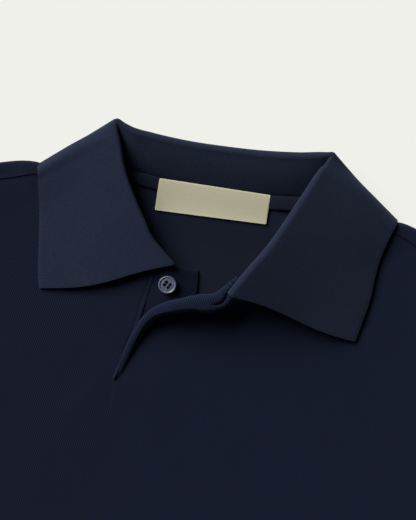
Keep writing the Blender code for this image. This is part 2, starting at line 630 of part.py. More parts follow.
def front_button_half(sheet):
    """The button side of the front: rows of points from the neck and the opening out to its side."""
    high = blend(UNDERARM_Y, FOOT_Y, HIGH_SHARE)
    opening_y = np.linspace(FOOT_Y, BUTTON_SIDE_EDGE[-1].y * MM, 6)
    opening = np.column_stack([edge_x(BUTTON_SIDE_EDGE, opening_y), opening_y])
    seam = shoulder_seam(-1)
    neckline = off_the_neck(NECK_BUTTON_SIDE)
    keep = (neckline[:, 0] < opening[-1, 0] - 2 * MM) & (neckline[:, 1] < seam[0, 1] - 1 * MM)
    neckline = neckline[keep]
    neckline = spaced(np.vstack([opening[-1:], neckline, seam[:1, :2]]), 7)
    below = np.concatenate([LOW_ROWS, high[1:]])
    inner = np.vstack([np.column_stack([np.full(len(below), FOOT_X), below]), opening[1:], neckline[1:]])
    hole = armhole_line(seam[-1, 1])
    hole = np.dstack([hole[:-1], (hole[:-1] + hole[1:]) / 2]).transpose(0, 2, 1).reshape(-1, 2)
    side = np.column_stack([half_width(LOW_ROWS[:-1]), LOW_ROWS[:-1]])
    outer = np.vstack([side, hole, [-seam[-1, 0], seam[-1, 1]]]) * np.array([-1, 1])
    rise = np.clip((np.arange(len(inner)) - len(LOW_ROWS) + 1) / (len(inner) - len(LOW_ROWS)), 0, 1) ** 4
    even = np.linspace(0, 1, SHOULDER_STEPS + 1)
    shares = blend(even[None, :] ** 1.6, even[None, :], rise[:, None])
    grid = blend(inner[:, None, :], outer[:, None, :], shares[:, :, None])
    bend = seam[:, 1] - grid[-1, :, 1]
    grid[:, :, 1] += rise[:, None] * bend[None, :]
    flat = grid.reshape(-1, 2)
    height = front_height(flat[:, 0], flat[:, 1], NECK_BUTTON_SIDE).reshape(grid.shape[:2])
    height[-1] = seam[:, 2]
    sheet.patch(np.dstack([grid, height]), flip=True)


def turned_lip(crest, steps=4):
    """Points that roll the turned-back edge over and under, square to its crest."""
    to_neck = square_to(crest)
    rows = []
    for turn in np.linspace(0, math.pi, steps + 1)[1:]:
        reach, drop = np.sin(turn) * crest[:, 3], (1 - np.cos(turn)) * crest[:, 3]
        rows.append(np.column_stack([crest[:, :2] + to_neck * reach[:, None], crest[:, 2] - drop]))
    full = blend(LIP_TURN_LEAST, 1, ease(lengths(crest[:, :2]) / LIP_TURN_GROWTH))
    tuck = LIP_TURN_UNDER * crest[:, 4] * full
    under = np.column_stack([crest[:, :2] - to_neck * tuck[:, None], rows[-1][:, 2]])
    return rows + [under]


def front_buttonhole_half(sheet):
    """The other side of the front: columns from the hem up to the turned-back edge, neck and shoulder."""
    high = blend(UNDERARM_Y, FOOT_Y, HIGH_SHARE)
    crest = spaced(CREST, 14)
    corner = crest[-1, :2]
    shoulder = shoulder_seam(1)
    neckline = off_the_neck(NECK_BUTTONHOLE_SIDE[::-1])
    neckline = neckline[(neckline[:, 1] < shoulder[0, 1] - 1 * MM) & (neckline[:, 1] > corner[1])]
    neckline = spaced(np.vstack([corner, neckline, shoulder[:1, :2]]), 9)
    tops = np.vstack([crest[:, :2], neckline[1:-1], shoulder[:, :2]])
    run = lengths(tops)
    share = blend(run / run[-1], np.linspace(0, 1, len(tops)), 0.5)
    grid = np.empty((len(LOW_ROWS) + len(high) - 1, len(tops), 2))
    for i, (top, out) in enumerate(zip(tops, share)):
        y = blend(UNDERARM_Y, top[1], HIGH_SHARE)
        straight = blend(HALF_CHEST, SHOULDER_POINT[0], (y - UNDERARM_Y) / (top[1] - UNDERARM_Y))
        x = blend(blend(FOOT_X, HALF_CHEST, out), top[0], (y - UNDERARM_Y) / (top[1] - UNDERARM_Y))
        x = x + (half_width(y) - straight) * out**ARMHOLE_FADE
        grid[: len(LOW_ROWS), i] = np.column_stack([blend(FOOT_X, half_width(LOW_ROWS), out), LOW_ROWS])
        grid[len(LOW_ROWS):, i] = np.column_stack([x, y])[1:]
        grid[-1, i] = top
    flat = grid.reshape(-1, 2)
    height = front_height(flat[:, 0], flat[:, 1], NECK_BUTTONHOLE_SIDE, turned=True).reshape(grid.shape[:2])
    height[:, 0] = front_height(grid[:, 0, 0], grid[:, 0, 1], NECK_BUTTON_SIDE)
    height[-1, 1:len(crest)] = crest[1:, 2]
    height[-1, -len(shoulder):] = shoulder[:, 2]
    sheet.patch(np.dstack([grid, height]))
    crest[0, 2] = height[-1, 0]
    rolled = turned_lip(crest)
    sheet.patch([crest[1:, :3]] + [row[1:] for row in rolled])


def make_front():
    """The front panel, one cloth with the opening cut down into it."""
    sheet = Sheet()
    front_button_half(sheet)
    front_buttonhole_half(sheet)
    return cloth("front", sheet, CLOTH, "body")


def make_under_placket():
    """The doubled strip that carries the button, sewn beneath the button side's front edge."""
    sheet = Sheet()
    rows = []
    for y in blend(PLACKET_FOOT_Y, PLACKET_TOP_Y, np.linspace(0, 1, 13)):
        x = np.linspace(edge_x(BUTTON_SIDE_EDGE, y)[0] - PLACKET_TUCK, edge_x(PLACKET_FREE_EDGE, y)[0], 8)
        slope = PLACKET_TOP_SLOPE * ease((y - PLACKET_CLIMB[0]) / (PLACKET_TOP_Y - PLACKET_CLIMB[0]))
        level = y + slope * (x[-1] - x)
        rows.append(np.column_stack([x, level, placket_height(x, level)]))
    sheet.patch(rows)
    return cloth("under_placket", sheet, PLACKET_CLOTH, "body")


def make_neck_tape():
    """The tape that covers the back neck seam, inside the neck."""
    sheet = Sheet()
    x = np.linspace(-TAPE_HALF_LENGTH, TAPE_HALF_LENGTH, 23)
    top = np.interp(x, NECK_BACK[:, 0], NECK_BACK[:, 1]) - NECK_GAP
    width = blend(*TAPE_WIDTHS, (x / TAPE_HALF_LENGTH + 1) / 2)
    rows = []
    for share in (1.0, 0.5, 0.0):
        y = top - width * share
        rows.append(np.column_stack([x, y, back_height(x, y) + (CLOTH + TAPE_CLOTH) / 2 + LAYER_GAP]))
    sheet.patch(rows)
    return cloth("neck_tape", sheet, TAPE_CLOTH, "body")


def make_label():
    """A blank woven label, sewn over the tape at its upper edge and lying on the back below it."""
    sheet = Sheet()
    width, height = LABEL_SIZE
    across = np.linspace(0, 1, 9)
    x = LABEL_CENTRE[0] + (across - 0.5) * width
    on_tape = CLOTH + COLLAR_UNDER_LIFT + TAPE_CLOTH + LABEL_CLOTH / 2 + 2 * LAYER_GAP + LABEL_EASE
    rows = []
    for down in np.linspace(1, 0, 6):
        y = LABEL_CENTRE[1] + height / 2 - down * (height - LABEL_SLANT * across)
        z = on_tape - LABEL_FALL * ease((down - 0.35) / 0.4)
        rows.append(np.column_stack([x, y, np.full_like(x, z)]))
    sheet.patch(rows)
    return cloth("label", sheet, LABEL_CLOTH, "label")


def sleeve_ring(under, wrap, over):
    """One closed ring of the sleeve: up the floor side, over the fold, down the top and round below."""
    low, high = under[0], over[-1]
    way = np.array([under[0, 0] - under[1, 0], under[0, 1] - under[1, 1], 0])
    way *= SLEEVE_FOLD_REACH * (high[2] - low[2]) / 2 / np.linalg.norm(way)
    rise = SLEEVE_FOLD_DEPTH * (high - low) / 2
    turns = (math.pi / 4, 0, -math.pi / 4)
    fold = [(low + high) / 2 + way * math.cos(turn) + rise * math.sin(turn) for turn in turns]
    return np.vstack([under, wrap, over, fold, under[:1]])


def make_sleeve(name, side):
    """A flattened tube of cloth from the armhole to the cuff, open at both ends."""
    top_way = np.array([math.cos(SLEEVE_DROOP), -math.sin(SLEEVE_DROOP)])
    cuff_way = np.array([-math.sin(SLEEVE_DROOP), -math.cos(SLEEVE_DROOP)])
    wrap = shoulder_wrap(SHOULDER_POINT[0] * side) * np.array([side, 1, 1])
    seam = shoulder_seam(side)[-1] * np.array([side, 1, 1])
    below, above = armhole_line(wrap[0, 1]), armhole_line(seam[1])[::-1]
    under = np.column_stack([below, back_height(below[:, 0], below[:, 1])])
    over = np.column_stack([above, laid_front_height(above[:, 0] * side, above[:, 1])])
    over[0, 2] = seam[2]
    hole = [part + np.array([ARMHOLE_GAP, 0, 0]) for part in (under, wrap[1:], over)]
    cuff_top = np.array(SHOULDER_POINT) + SLEEVE_LENGTH * top_way
    down = np.linspace(1, 0, len(under))[:, None]
    roof = CLOTH / 2 + FRONT_LOFT
    cuff_under = np.column_stack([cuff_top + down * cuff_way * CUFF_WIDTH, np.full(len(under), CLOTH / 2)])
    cuff_over = cuff_under[::-1] * np.array([1, 1, 0]) + np.array([0, 0, roof])
    turn = np.linspace(0, math.pi, len(wrap))[1:, None]
    fold = cuff_top - np.sin(turn) * cuff_way * FRONT_LOFT / 2
    cuff_fold = np.column_stack([fold, CLOTH / 2 + FRONT_LOFT / 2 * (1 - np.cos(turn))])
    cuff_over[0] = blend(cuff_over[0], cuff_over[1], 0.3)
    cuff = (cuff_under, cuff_fold, cuff_over)
    rings = []
    for share in np.linspace(0, 1, 8):
        parts = [blend(a, b, share) for a, b in zip(hole, cuff)]
        swell = np.sin(np.linspace(0, math.pi, len(over))) * math.sin(math.pi * share)
        parts[2][:, 2] += SLEEVE_SWELL * swell
        rings.append(sleeve_ring(*parts) * np.array([side, 1, 1]))
    sheet = Sheet()
    sheet.patch(rings, flip=side > 0)
    return cloth(name, sheet, CLOTH, "body")


def make_button():
    """A four-hole button with a raised rim, parallel to the under placket beneath it."""
    radius, thick = BUTTON_DIAMETER / 2, BUTTON_THICKNESS
    profile = [(radius * row.out, 0, thick * row.up) for row in BUTTON_PROFILE]
    mesh = bpy.data.meshes.new("button")
    mesh.from_pydata(profile, [(i, i + 1) for i in range(len(profile) - 1)], [])
    button = new_object("button", mesh, "button", roughness=0.3)
    turned = button.modifiers.new("turned", "SCREW")
    turned.steps = turned.render_steps = 28
    turned.use_merge_vertices = True
    turned.merge_threshold = 0.02 * MM
    cutters = bpy.data.collections.new("cutters")
    bpy.context.scene.collection.children.link(cutters)
    hole = BUTTON_HOLE_DIAMETER / 2
    for i, (sx, sy) in enumerate(((1, 0), (-1, 0), (0, 1), (0, -1))):
        tool = bmesh.new()
        bmesh.ops.create_cone(tool, cap_ends=True, segments=12, radius1=hole, radius2=hole, depth=4 * thick)
        drill_mesh = bpy.data.meshes.new(f"drill_{i}")
        tool.to_mesh(drill_mesh)
        tool.free()
        drill = bpy.data.objects.new(f"drill_{i}", drill_mesh)
        drill.location = (sx * BUTTON_HOLE_SPREAD, sy * BUTTON_HOLE_SPREAD, thick / 2)
        drill.parent = button
        drill.hide_render = True
        drill.display_type = "WIRE"
        cutters.objects.link(drill)
        cut = button.modifiers.new(f"hole_{i}", "BOOLEAN")
        cut.operation = "DIFFERENCE"
        cut.object = drill
    x, y = BUTTON_CENTRE
    along_x, along_y = placket_slope(x, y)
    button.rotation_mode = "ZYX"
    button.rotation_euler = (math.atan(along_y), -math.atan(along_x), BUTTON_TURN)
    button.location = (x, y, float(placket_height(x, y)[0]) + PLACKET_CLOTH / 2 + BUTTON_SHANK)
    return button


def settle_on_origin(objects):
    """Moves every piece so that the origin is the bottom centre of the whole shirt."""
    bpy.context.view_layer.update()
    graph = bpy.context.evaluated_depsgraph_get()
    solids = [made.evaluated_get(graph) for made in objects]
    corners = np.array([solid.matrix_world @ v.co for solid in solids for v in solid.data.vertices])
    low, high = corners.min(axis=0), corners.max(axis=0)
    shift = [-(low[0] + high[0]) / 2, -(low[1] + high[1]) / 2, -low[2]]
    for made in objects:
        made.location = [c + s for c, s in zip(made.location, shift)]


def main():
    for old in list(bpy.data.objects):
        bpy.data.objects.remove(old)
    bpy.context.scene.collection.children.link(bpy.data.collections.new("polo_shirt"))
    pieces = [
        make_back(),
        make_front(),
        make_sleeve("sleeve_wearers_right", -1),
        make_sleeve("sleeve_wearers_left", 1),
        make_collar(),
        make_under_placket(),
        make_neck_tape(),
        make_label(),
        make_button(),
    ]
    settle_on_origin(pieces)


main()
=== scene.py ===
"""A knit polo shirt laid flat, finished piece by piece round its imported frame.

The file is laid out as an add-on and run as a script: each operator makes one piece or a group of like
pieces, and main() calls them in order. Forms are worked out in the cutter's own axes, where y = 0 is the
line through the two top corners of the collar fold, and are moved into the frame as they are made. Lengths
are metres, and where a table is in millimetres its comment says so.
"""

import math
from collections import namedtuple
from contextlib import contextmanager

import bpy
import numpy as np
from mathutils import Matrix, Vector
from mathutils.bvhtree import BVHTree


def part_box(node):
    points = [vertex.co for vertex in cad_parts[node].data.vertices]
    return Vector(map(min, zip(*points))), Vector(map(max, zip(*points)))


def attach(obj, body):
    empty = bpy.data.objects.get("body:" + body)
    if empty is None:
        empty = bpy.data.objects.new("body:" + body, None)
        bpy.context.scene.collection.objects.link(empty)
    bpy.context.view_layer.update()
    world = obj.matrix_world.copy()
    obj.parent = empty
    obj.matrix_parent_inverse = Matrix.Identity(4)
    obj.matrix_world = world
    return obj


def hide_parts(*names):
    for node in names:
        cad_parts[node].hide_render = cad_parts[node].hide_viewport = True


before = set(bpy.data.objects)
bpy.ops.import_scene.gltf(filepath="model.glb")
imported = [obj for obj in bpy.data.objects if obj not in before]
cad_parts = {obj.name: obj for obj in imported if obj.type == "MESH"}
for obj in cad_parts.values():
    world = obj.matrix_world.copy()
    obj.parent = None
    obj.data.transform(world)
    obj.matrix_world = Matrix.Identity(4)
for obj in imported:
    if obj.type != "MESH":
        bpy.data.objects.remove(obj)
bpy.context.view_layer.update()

bl_info = {
    "name": "Laid polo shirt",
    "version": (1, 0, 0),
    "blender": (4, 5, 0),
    "location": "View3D > Sidebar > Polo",
    "description": "Makes the cloth, sewing and button of a polo shirt laid flat round its frame",
    "category": "Object",
}

MM = 0.001

# ---------------------------------------------------------------- the body and how it lies
LAYER_GAP = 0.35 * MM
SEAM_GAP = 0.5 * MM
BODY_LENGTH = 710 * MM
SHOULDER_POINT = (224 * MM, -76 * MM)
HALF_CHEST = 265 * MM
HALF_HEM = 258 * MM
HIGH_SHOULDER_Y = -25 * MM
UNDERARM_Y = -301 * MM
HEM_Y = HIGH_SHOULDER_Y - BODY_LENGTH
HEM_EASE = 1.2 * MM         # the front rises onto the turned hem over this depth
SHOULDER_INNER_X = 78 * MM
BACK_NECK_HALF = 70.5 * MM
FORWARD_SEAM = (6.5 * MM, 10.4 * MM)  # from the shoulder fold to its seam: beside the collar, and outside
FORWARD_SEAM_GROWTH = (108 * MM, 134 * MM)  # where it goes over from the one to the other
SHOULDER_ROLL = 2.2 * MM
FRONT_LOFT = 2.7 * MM       # height of the front over the back
SIDE_LOFT = 1.4 * MM        # and of its edge at the side seams
SIDE_LOFT_LEAST = 0.6 * MM  # clear space left between the two walls just inside that edge
SIDE_REACH, SIDE_EDGE_REACH = 16 * MM, 6 * MM
UNDERARM_EASE = 0.6         # how fast the body gains loft above the underarm, where the sleeve carries it
SHOULDER_LIFT, SHOULDER_LIFT_REACH = 0.8 * MM, 30 * MM
SEAM_STEP = 0.6 * MM        # the back's edge stands this much over the front's at the shoulder seam
INSIDE_HEIGHT = 1.5 * MM    # the back's inner side shows up to this height over its lowest layer
NECK_GAP = 0.8 * MM
NECK_DROP = 1.6 * MM
NECK_FADE, NECK_END_FADE, NECK_END_START = 13 * MM, 5 * MM, 0.5
NECK_MARGIN = 1 * MM        # the neckline is left out this near to a shoulder seam
ARMHOLE_FADE = 5            # power that keeps the armhole's bend near the armhole
COLLAR_UNDER_LIFT = 2.1 * MM  # the back is this much higher where the collar's fall lies beneath it
FALL_EDGE = (-50 * MM, 12 * MM, 112 * MM)  # the collar's lower edge at the back: y, rise and half width
FALL_CLEAR_BELOW, FALL_FADE_BELOW = 2 * MM, 20 * MM  # the lift begins to end past the edge, over this width
FALL_CLEAR_SIDE, FALL_FADE_SIDE = 5 * MM, 18 * MM  # and to the sides

# ---------------------------------------------------------------- the sleeves
SLEEVE_LENGTH = 225 * MM
SLEEVE_DROOP = math.radians(28)
SLEEVE_WAY = np.array([math.cos(SLEEVE_DROOP), -math.sin(SLEEVE_DROOP)])
CUFF_WAY = np.array([-math.sin(SLEEVE_DROOP), -math.cos(SLEEVE_DROOP)])
CUFF_WIDTH = 165 * MM
CUFF_TOP_BLEND = 0.3        # softens the corner of the cuff at its upper fold
SLEEVE_SWELL = 1.5 * MM
SLEEVE_HEM_STEEPNESS = 100  # how sharply the top rises onto the turned cuff
ARMHOLE_GAP = 0.06 * MM
UNDERARM_FOLD = (1.6, 1.25, math.pi / 3)  # its reach and height in half thicknesses, and its half turn

# ---------------------------------------------------------------- the opening, its placket and rolled edge
OPENING_FADE = 10 * MM
EDGE_DIP = (0.45 * MM, 2.6 * MM, 0.6 * MM)  # groove along the opening's edge: depth, place and width
PLACKET_TUCK = 3.5 * MM     # the placket's width under the front's edge
PLACKET_TOP_Y = -86.4 * MM
PLACKET_FOOT_Y = -170 * MM
PLACKET_LOW, PLACKET_HIGH = 2.2 * MM, 7.2 * MM  # middle of its wall at the foot, and at the neck
PLACKET_LEAST = 1.95 * MM   # and no lower than this, clear of the back
PLACKET_CLIMB = (-125 * MM, -85 * MM)
PLACKET_PEAK = 0.3          # share of its width where it is highest
PLACKET_DROOP = 1.5         # power of its fall from there to the free edge
PLACKET_AT_SEAM = 0.72      # share of the climb that it has under the front's edge
PLACKET_JOGGLE = (1.4 * MM, 0.7 * MM, 0.1 * MM)  # its step down under the front: depth, width and place
PLACKET_TOP_SLOPE = 0.09    # slant of its top edge
PLACKET_RIM = (0.9 * MM, 2.2 * MM)  # the top edge turns down: depth and width
PLACKET_RIM_ROWS = 2.4      # millimetres below the top that are divided finely
PLACKET_COVER_REACH = 14 * MM  # the front slopes off beside the placket over this width
LIP_TURN_UNDER, LIP_TURN_LEAST, LIP_TURN_GROWTH = 0.7, 0.4, 60 * MM
LIP_SHARES = (0.25, 0.5, 0.75, 1.0)
ROLL_ROUND, ROLL_ROUND_END = 0.22, 1.4  # how the roll's top drops beyond the crest, and how far, in shelves
ROLL_START, CREASE_START = 24, 30  # points of the crest and of the crease over which each one grows
CREASE_HALF_WIDTH = 0.9 * MM
FOOT_SHARE, FOOT_REACH = 0.04, 20 * MM  # what is left of the roll's height past its steep side

# ---------------------------------------------------------------- tape, label and button
TAPE_HALF_LENGTH = 66 * MM
TAPE_ROUND = 2.2            # power of the tape's swell across its width
TAPE_PRESSED = (0.6, 3 * MM, 16.0)  # under the label: share of the swell lost, margin and sharpness
LABEL_SIZE = (70.9 * MM, 20.4 * MM)
LABEL_SLANT, LABEL_FALL = 1.7 * MM, 1.2 * MM
LABEL_FALL_SPEED = 1.1
LABEL_WAVES = ((0.2 * MM, 5.2, 1.8), (0.05 * MM, 17, 4))  # the bow and the fine ripple: height and turns
LABEL_CORNER, LABEL_EDGE_ROUND = 0.9 * MM, 0.3 * MM
CORNER_REACH = 0.3 * MM     # an edge this near to a corner of the label belongs to it
LABEL_CENTRE = Vector((-2.9 * MM, -42.6 * MM, 5.0 * MM))
BUTTON_CENTRE = (-23.2 * MM, -97.8 * MM)
BUTTON_TURN = math.radians(17)
BUTTON_SLOPE_STEP = 4 * MM  # the placket's slope under the button is taken over this distance
# The button's top from its edge to its middle: each inset in radii, and how far it moves up in thicknesses.
BUTTON_TURNING = (
    (0.07, 0.0),
    (0.05, -0.03),
    (0.06, -0.03),
    (0.05, -0.16),
    (0.05, -0.03),
    (0.05, 0.05),
    (0.1, 0.03),
    (0.2, -0.03),
)
BUTTON_BACK_WIDTH = 0.86    # the back face's share of the full width
BUTTON_RIM_HEIGHT = 0.80    # height of the widest place, in thicknesses
BUTTON_EDGE_ROUND = 0.32 * MM
HOLE_RADIUS = 1.12 * MM
HOLE_OFFSETS = (1.40 * MM, 1.10 * MM)  # from the middle to a hole, across and along the strands
HOLE_TURN = math.radians(62.5)
STRAND_SHIFTS = (-0.4, 0.0, 0.4)  # the strands of one pair of holes, in millimetres to the side
STRAND_SIZE = (0.3 * MM, 0.29 * MM, 0.26 * MM)  # past the hole's centre, half width and half height
STRAND_HEIGHT, STRAND_FALL = 0.80, 0.2  # the middle strand's, in thicknesses, and the outer ones' by shift
SHANK_RADIUS, SHANK_SUNK, SHANK_LOWER = 1.5 * MM, 0.9 * MM, 0.1 * MM
DARK_THREAD = 0.25          # the button's thread lies in its own shade, so its colour is this share

# ---------------------------------------------------------------- edges and stitches
COLLAR_EDGE_ROUND, PLACKET_EDGE_ROUND, TAPE_EDGE_ROUND = 0.55 * MM, 0.6 * MM, 0.4 * MM
HEM_STITCHES = (0.4 * MM, 6.4 * MM)  # the two rows, below the top of the turned hem
CUFF_STITCHES = (0.6 * MM, 6.6 * MM)
CUFF_STITCH_REACH = (-0.01, 1.2)  # shares of the cuff's width, to past both of its edges
EDGE_STITCH = 1.5 * MM      # inside the opening's edge and the side seams
OPENING_STITCH_ENDS = (6 * MM, 1 * MM)  # clear of the opening's foot and of the neck
SHOULDER_STITCH, SHOULDER_STITCH_START = 1.6 * MM, 4  # inside the seam's edge, and its first point used
TAPE_STITCHES, TAPE_SUNK = (0.14, 0.86), 0.05 * MM  # shares of its width, and how deep they sink in
TAPE_STITCH_END = 1 * MM    # clear of the tape's ends
STITCH_SPREAD = 0.4 * MM    # a stitch's direction is taken over this distance to either side

# The flat size that each cloth was cut to, and the area of a cut that isn't its rectangle, in metres.
Cut = namedtuple("Cut", "flat area")

# The collar from the back centre round to a front end, in millimetres: place round the neck, seam, axis of
# the fold, middle of the fall, free edge, and the fold's radius.
Station = namedtuple("Station", "round seam fold middle edge roll")
COLLAR_CENTRE = Station(0, (0, -33.0, 2.9), (0, -10.2, 14.6), (0, -12.5, 2.2), (0, -50, 0.75), 2.4)
BUTTON_SIDE = (
    Station(24, (-24, -32.4, 2.9), (-24, -10.3, 14.9), (-25, -12.6, 2.2), (-33, -49.5, 0.75), 2.4),
    Station(46, (-47, -30.6, 3.0), (-47, -8.8, 16.0), (-53, -12.3, 2.3), (-66, -47.5, 0.75), 2.4),
    Station(60, (-60, -28.4, 3.2), (-59.8, -6.8, 17.3), (-77, -15.0, 2.4), (-94, -44, 0.75), 2.0),
    Station(67, (-66.5, -24.6, 3.8), (-65.6, -4.2, 18.2), (-89, -20.0, 2.4), (-107, -42, 0.75), 1.4),
    Station(71.5, (-71.0, -21.4, 4.2), (-69.2, -2.4, 18.6), (-94.4, -20.6, 5.4), (-112.6, -38.0, 1.1), 1.2),
    Station(76, (-74.0, -21.4, 5.0), (-70.0, -4.4, 18.9), (-95.0, -20.2, 10.0), (-114.6, -35.4, 4.0), 1.2),
    Station(82, (-75.0, -26.5, 6.2), (-69.2, -8.5, 19.0), (-93.2, -22.5, 13.4), (-114.4, -38.6, 8.9), 1.2),
    Station(92, (-73.0, -34.0, 7.6), (-67.0, -14.0, 19.0), (-91, -31.0, 12.8), (-113.3, -46, 8.3), 1.1),
    Station(112, (-67.5, -45.0, 7.6), (-60.7, -32.5, 17.1), (-87, -48, 10.8), (-110.2, -62, 6.3), 1.1),
    Station(145, (-49.5, -71.0, 8.4), (-42.6, -63.8, 14.3), (-74, -77.5, 9.8), (-106.6, -90, 5.7), 1.1),
    Station(160, (-37.6, -79.6, 8.8), (-36.2, -72.9, 12.9), (-67.4, -90.2, 9.4), (-105.2, -101.6, 5.5), 1.1),
    Station(174, (-24.4, -88.0, 9.2), (-21.7, -85.3, 11.5), (-60, -101.7, 9.2), (-102.8, -112.6, 5.3), 1.0),
)
BUTTONHOLE_SIDE = (
    Station(24, (24, -32.4, 2.9), (24, -9.2, 14.9), (25, -12.0, 2.2), (33, -49.5, 0.75), 2.4),
    Station(46, (47, -30.6, 3.0), (47, -6.9, 16.0), (53, -11.0, 2.3), (66, -47.5, 0.75), 2.4),
    Station(60, (60, -28.4, 3.2), (58.6, -4.6, 17.3), (76, -14.6, 2.4), (94, -44, 0.75), 2.0),
    Station(67, (66.5, -24.6, 3.8), (63.6, -3.2, 18.2), (88, -21.5, 2.4), (106, -42.0, 0.75), 1.2),
    Station(71.5, (71.0, -21.4, 4.2), (66.4, -2.6, 18.6), (93.2, -22.2, 5.4), (111.6, -38.4, 1.1), 1.0),
    Station(76, (74.0, -21.4, 5.0), (65.8, -5.2, 18.9), (93.0, -21.8, 10.0), (113.6, -36.2, 4.0), 1.0),
    Station(82, (75.0, -26.5, 6.2), (63.9, -9.4, 20.5), (91.3, -24.2, 14.6), (113.0, -39.3, 8.9), 1.1),
    Station(92, (71.5, -34.0, 8.2), (61.0, -14.4, 22.3), (87.1, -31.9, 15.9), (110.8, -45.8, 8.3), 1.8),
    Station(112, (62.5, -46.0, 10.4), (52.4, -33.9, 25.2), (80.7, -51.1, 16.9), (106.6, -62, 6.5), 2.4),
    Station(145, (42.5, -76.0, 17.5), (35.5, -68.0, 29.7), (68.6, -85.0, 18.0), (103.8, -91.2, 5.9), 2.4),
    Station(160, (31.4, -86.9, 21.5), (26.3, -82.3, 31.7), (62.8, -96.4, 18.6), (101.4, -104.0, 5.7), 2.4),
    Station(174, (20.9, -96.6, 24.5), (16.7, -98.2, 33.2), (57.5, -106.9, 19.0), (99.0, -115.7, 5.4), 2.2),
)
STATIONS = [row._replace(round=-row.round) for row in reversed(BUTTON_SIDE)]
STATIONS += [COLLAR_CENTRE, *BUTTONHOLE_SIDE]
# Places round the neck, in millimetres from the back centre.
COLLAR_REACH = STATIONS[-1].round
COLLAR_TURN = (46, 92)      # where the collar turns over the shoulders
BACK_NECK_REACH = 69
FRONT_NECK_START = 83
PUFF_END, PUFF_FADE = 40, 30  # the stand bows up as far as this, and straightens over the next stretch
SWAY_REACH = 34             # from the front ends
STAND_PUFF = 1.2 * MM
LEAF_SWAY = 1.4 * MM        # the leaves' front edges swing this much to either side of their line
STAND_DEPTH = 25 * MM       # the stand, up to the fold, is painted a little lighter: painted light where it faces away from the key
STAND_HALF_WIDTH = 62 * MM  # as far as it shows at the back

# The shoulder fold from above, in millimetres: distance from the centre, and y on the button side and on the
# other.
ShoulderRow = namedtuple("ShoulderRow", "out button_side buttonhole_side")
SHOULDER_FOLD = (
    ShoulderRow(78, -28.2, -28.2),
    ShoulderRow(100, -34.6, -34.9),
    ShoulderRow(112, -35.2, -37.6),
    ShoulderRow(117, -34.5, -37.6),
    ShoulderRow(126, -35.1, -39.7),
    ShoulderRow(140, -38.4, -44.0),
    ShoulderRow(180, -53.6, -57.8),
    ShoulderRow(224, -76.0, -76.0),
)
# Outlines seen from above, in millimetres.
EdgeRow = namedtuple("EdgeRow", "x y")
ARMHOLE = (
    EdgeRow(265, -301),
    EdgeRow(247, -288),
    EdgeRow(233, -265),
    EdgeRow(223, -230),
    EdgeRow(217.5, -185),
    EdgeRow(217, -130),
    EdgeRow(224, -76),
)
BUTTON_SIDE_EDGE = (
    EdgeRow(-48.0, -163.0),
    EdgeRow(-44.8, -152.0),
    EdgeRow(-41.8, -142.0),
    EdgeRow(-38.3, -130.0),
    EdgeRow(-36.2, -116.2),
    EdgeRow(-32.2, -94.0),
    EdgeRow(-31.2, -89.0),
)
PLACKET_FREE_EDGE = (
    EdgeRow(-26.0, -170.0),
    EdgeRow(-12.0, -130.0),
    EdgeRow(-4.6, -100.0),
    EdgeRow(-5.6, -86.0),
)
# The turned-back edge, in millimetres: its crest, height, radius, and the width of its top beyond the crest.
CrestRow = namedtuple("CrestRow", "x y z radius shelf")
TURNED_EDGE = (
    CrestRow(-48.0, -163.0, 5.2, 0.7, 0.6),
    CrestRow(-44.2, -151.5, 6.0, 0.75, 1.4),
    CrestRow(-41.4, -141.0, 7.4, 1.0, 1.7),
    CrestRow(-37.4, -129.3, 10.0, 1.4, 1.8),
    CrestRow(-34.3, -122.6, 12.5, 1.6, 1.9),
    CrestRow(-29.6, -116.6, 16.8, 1.8, 2.1),
    CrestRow(-24.1, -112.7, 20.2, 2.2, 2.6),
    CrestRow(-18.6, -110.2, 22.4, 2.6, 3.0),
    CrestRow(-12.5, -108.1, 23.8, 2.8, 3.2),
    CrestRow(-6.5, -105.9, 24.8, 3.1, 4.0),
    CrestRow(-1.0, -104.4, 25.3, 3.4, 5.2),
    CrestRow(4.8, -103.4, 25.5, 3.5, 5.6),
    CrestRow(9.7, -101.0, 25.2, 3.3, 5.6),
    CrestRow(13.4, -96.7, 24.6, 2.8, 6.0),
    CrestRow(16.4, -92.1, 23.6, 2.0, 5.4),
    CrestRow(20.2, -87.1, 23.0, 1.2, 4.6),
)
# The crease that parts the roll's two layers where they run under the collar's end, in millimetres.
ROLL_CREASE = (
    EdgeRow(4.4, -106.0),
    EdgeRow(7.2, -105.5),
    EdgeRow(11.2, -104.1),
    EdgeRow(13.4, -101.6),
    EdgeRow(14.2, -98.6),
    EdgeRow(15.0, -94.9),
    EdgeRow(16.2, -92.0),
    EdgeRow(18.2, -88.7),
    EdgeRow(20.4, -86.3),
)

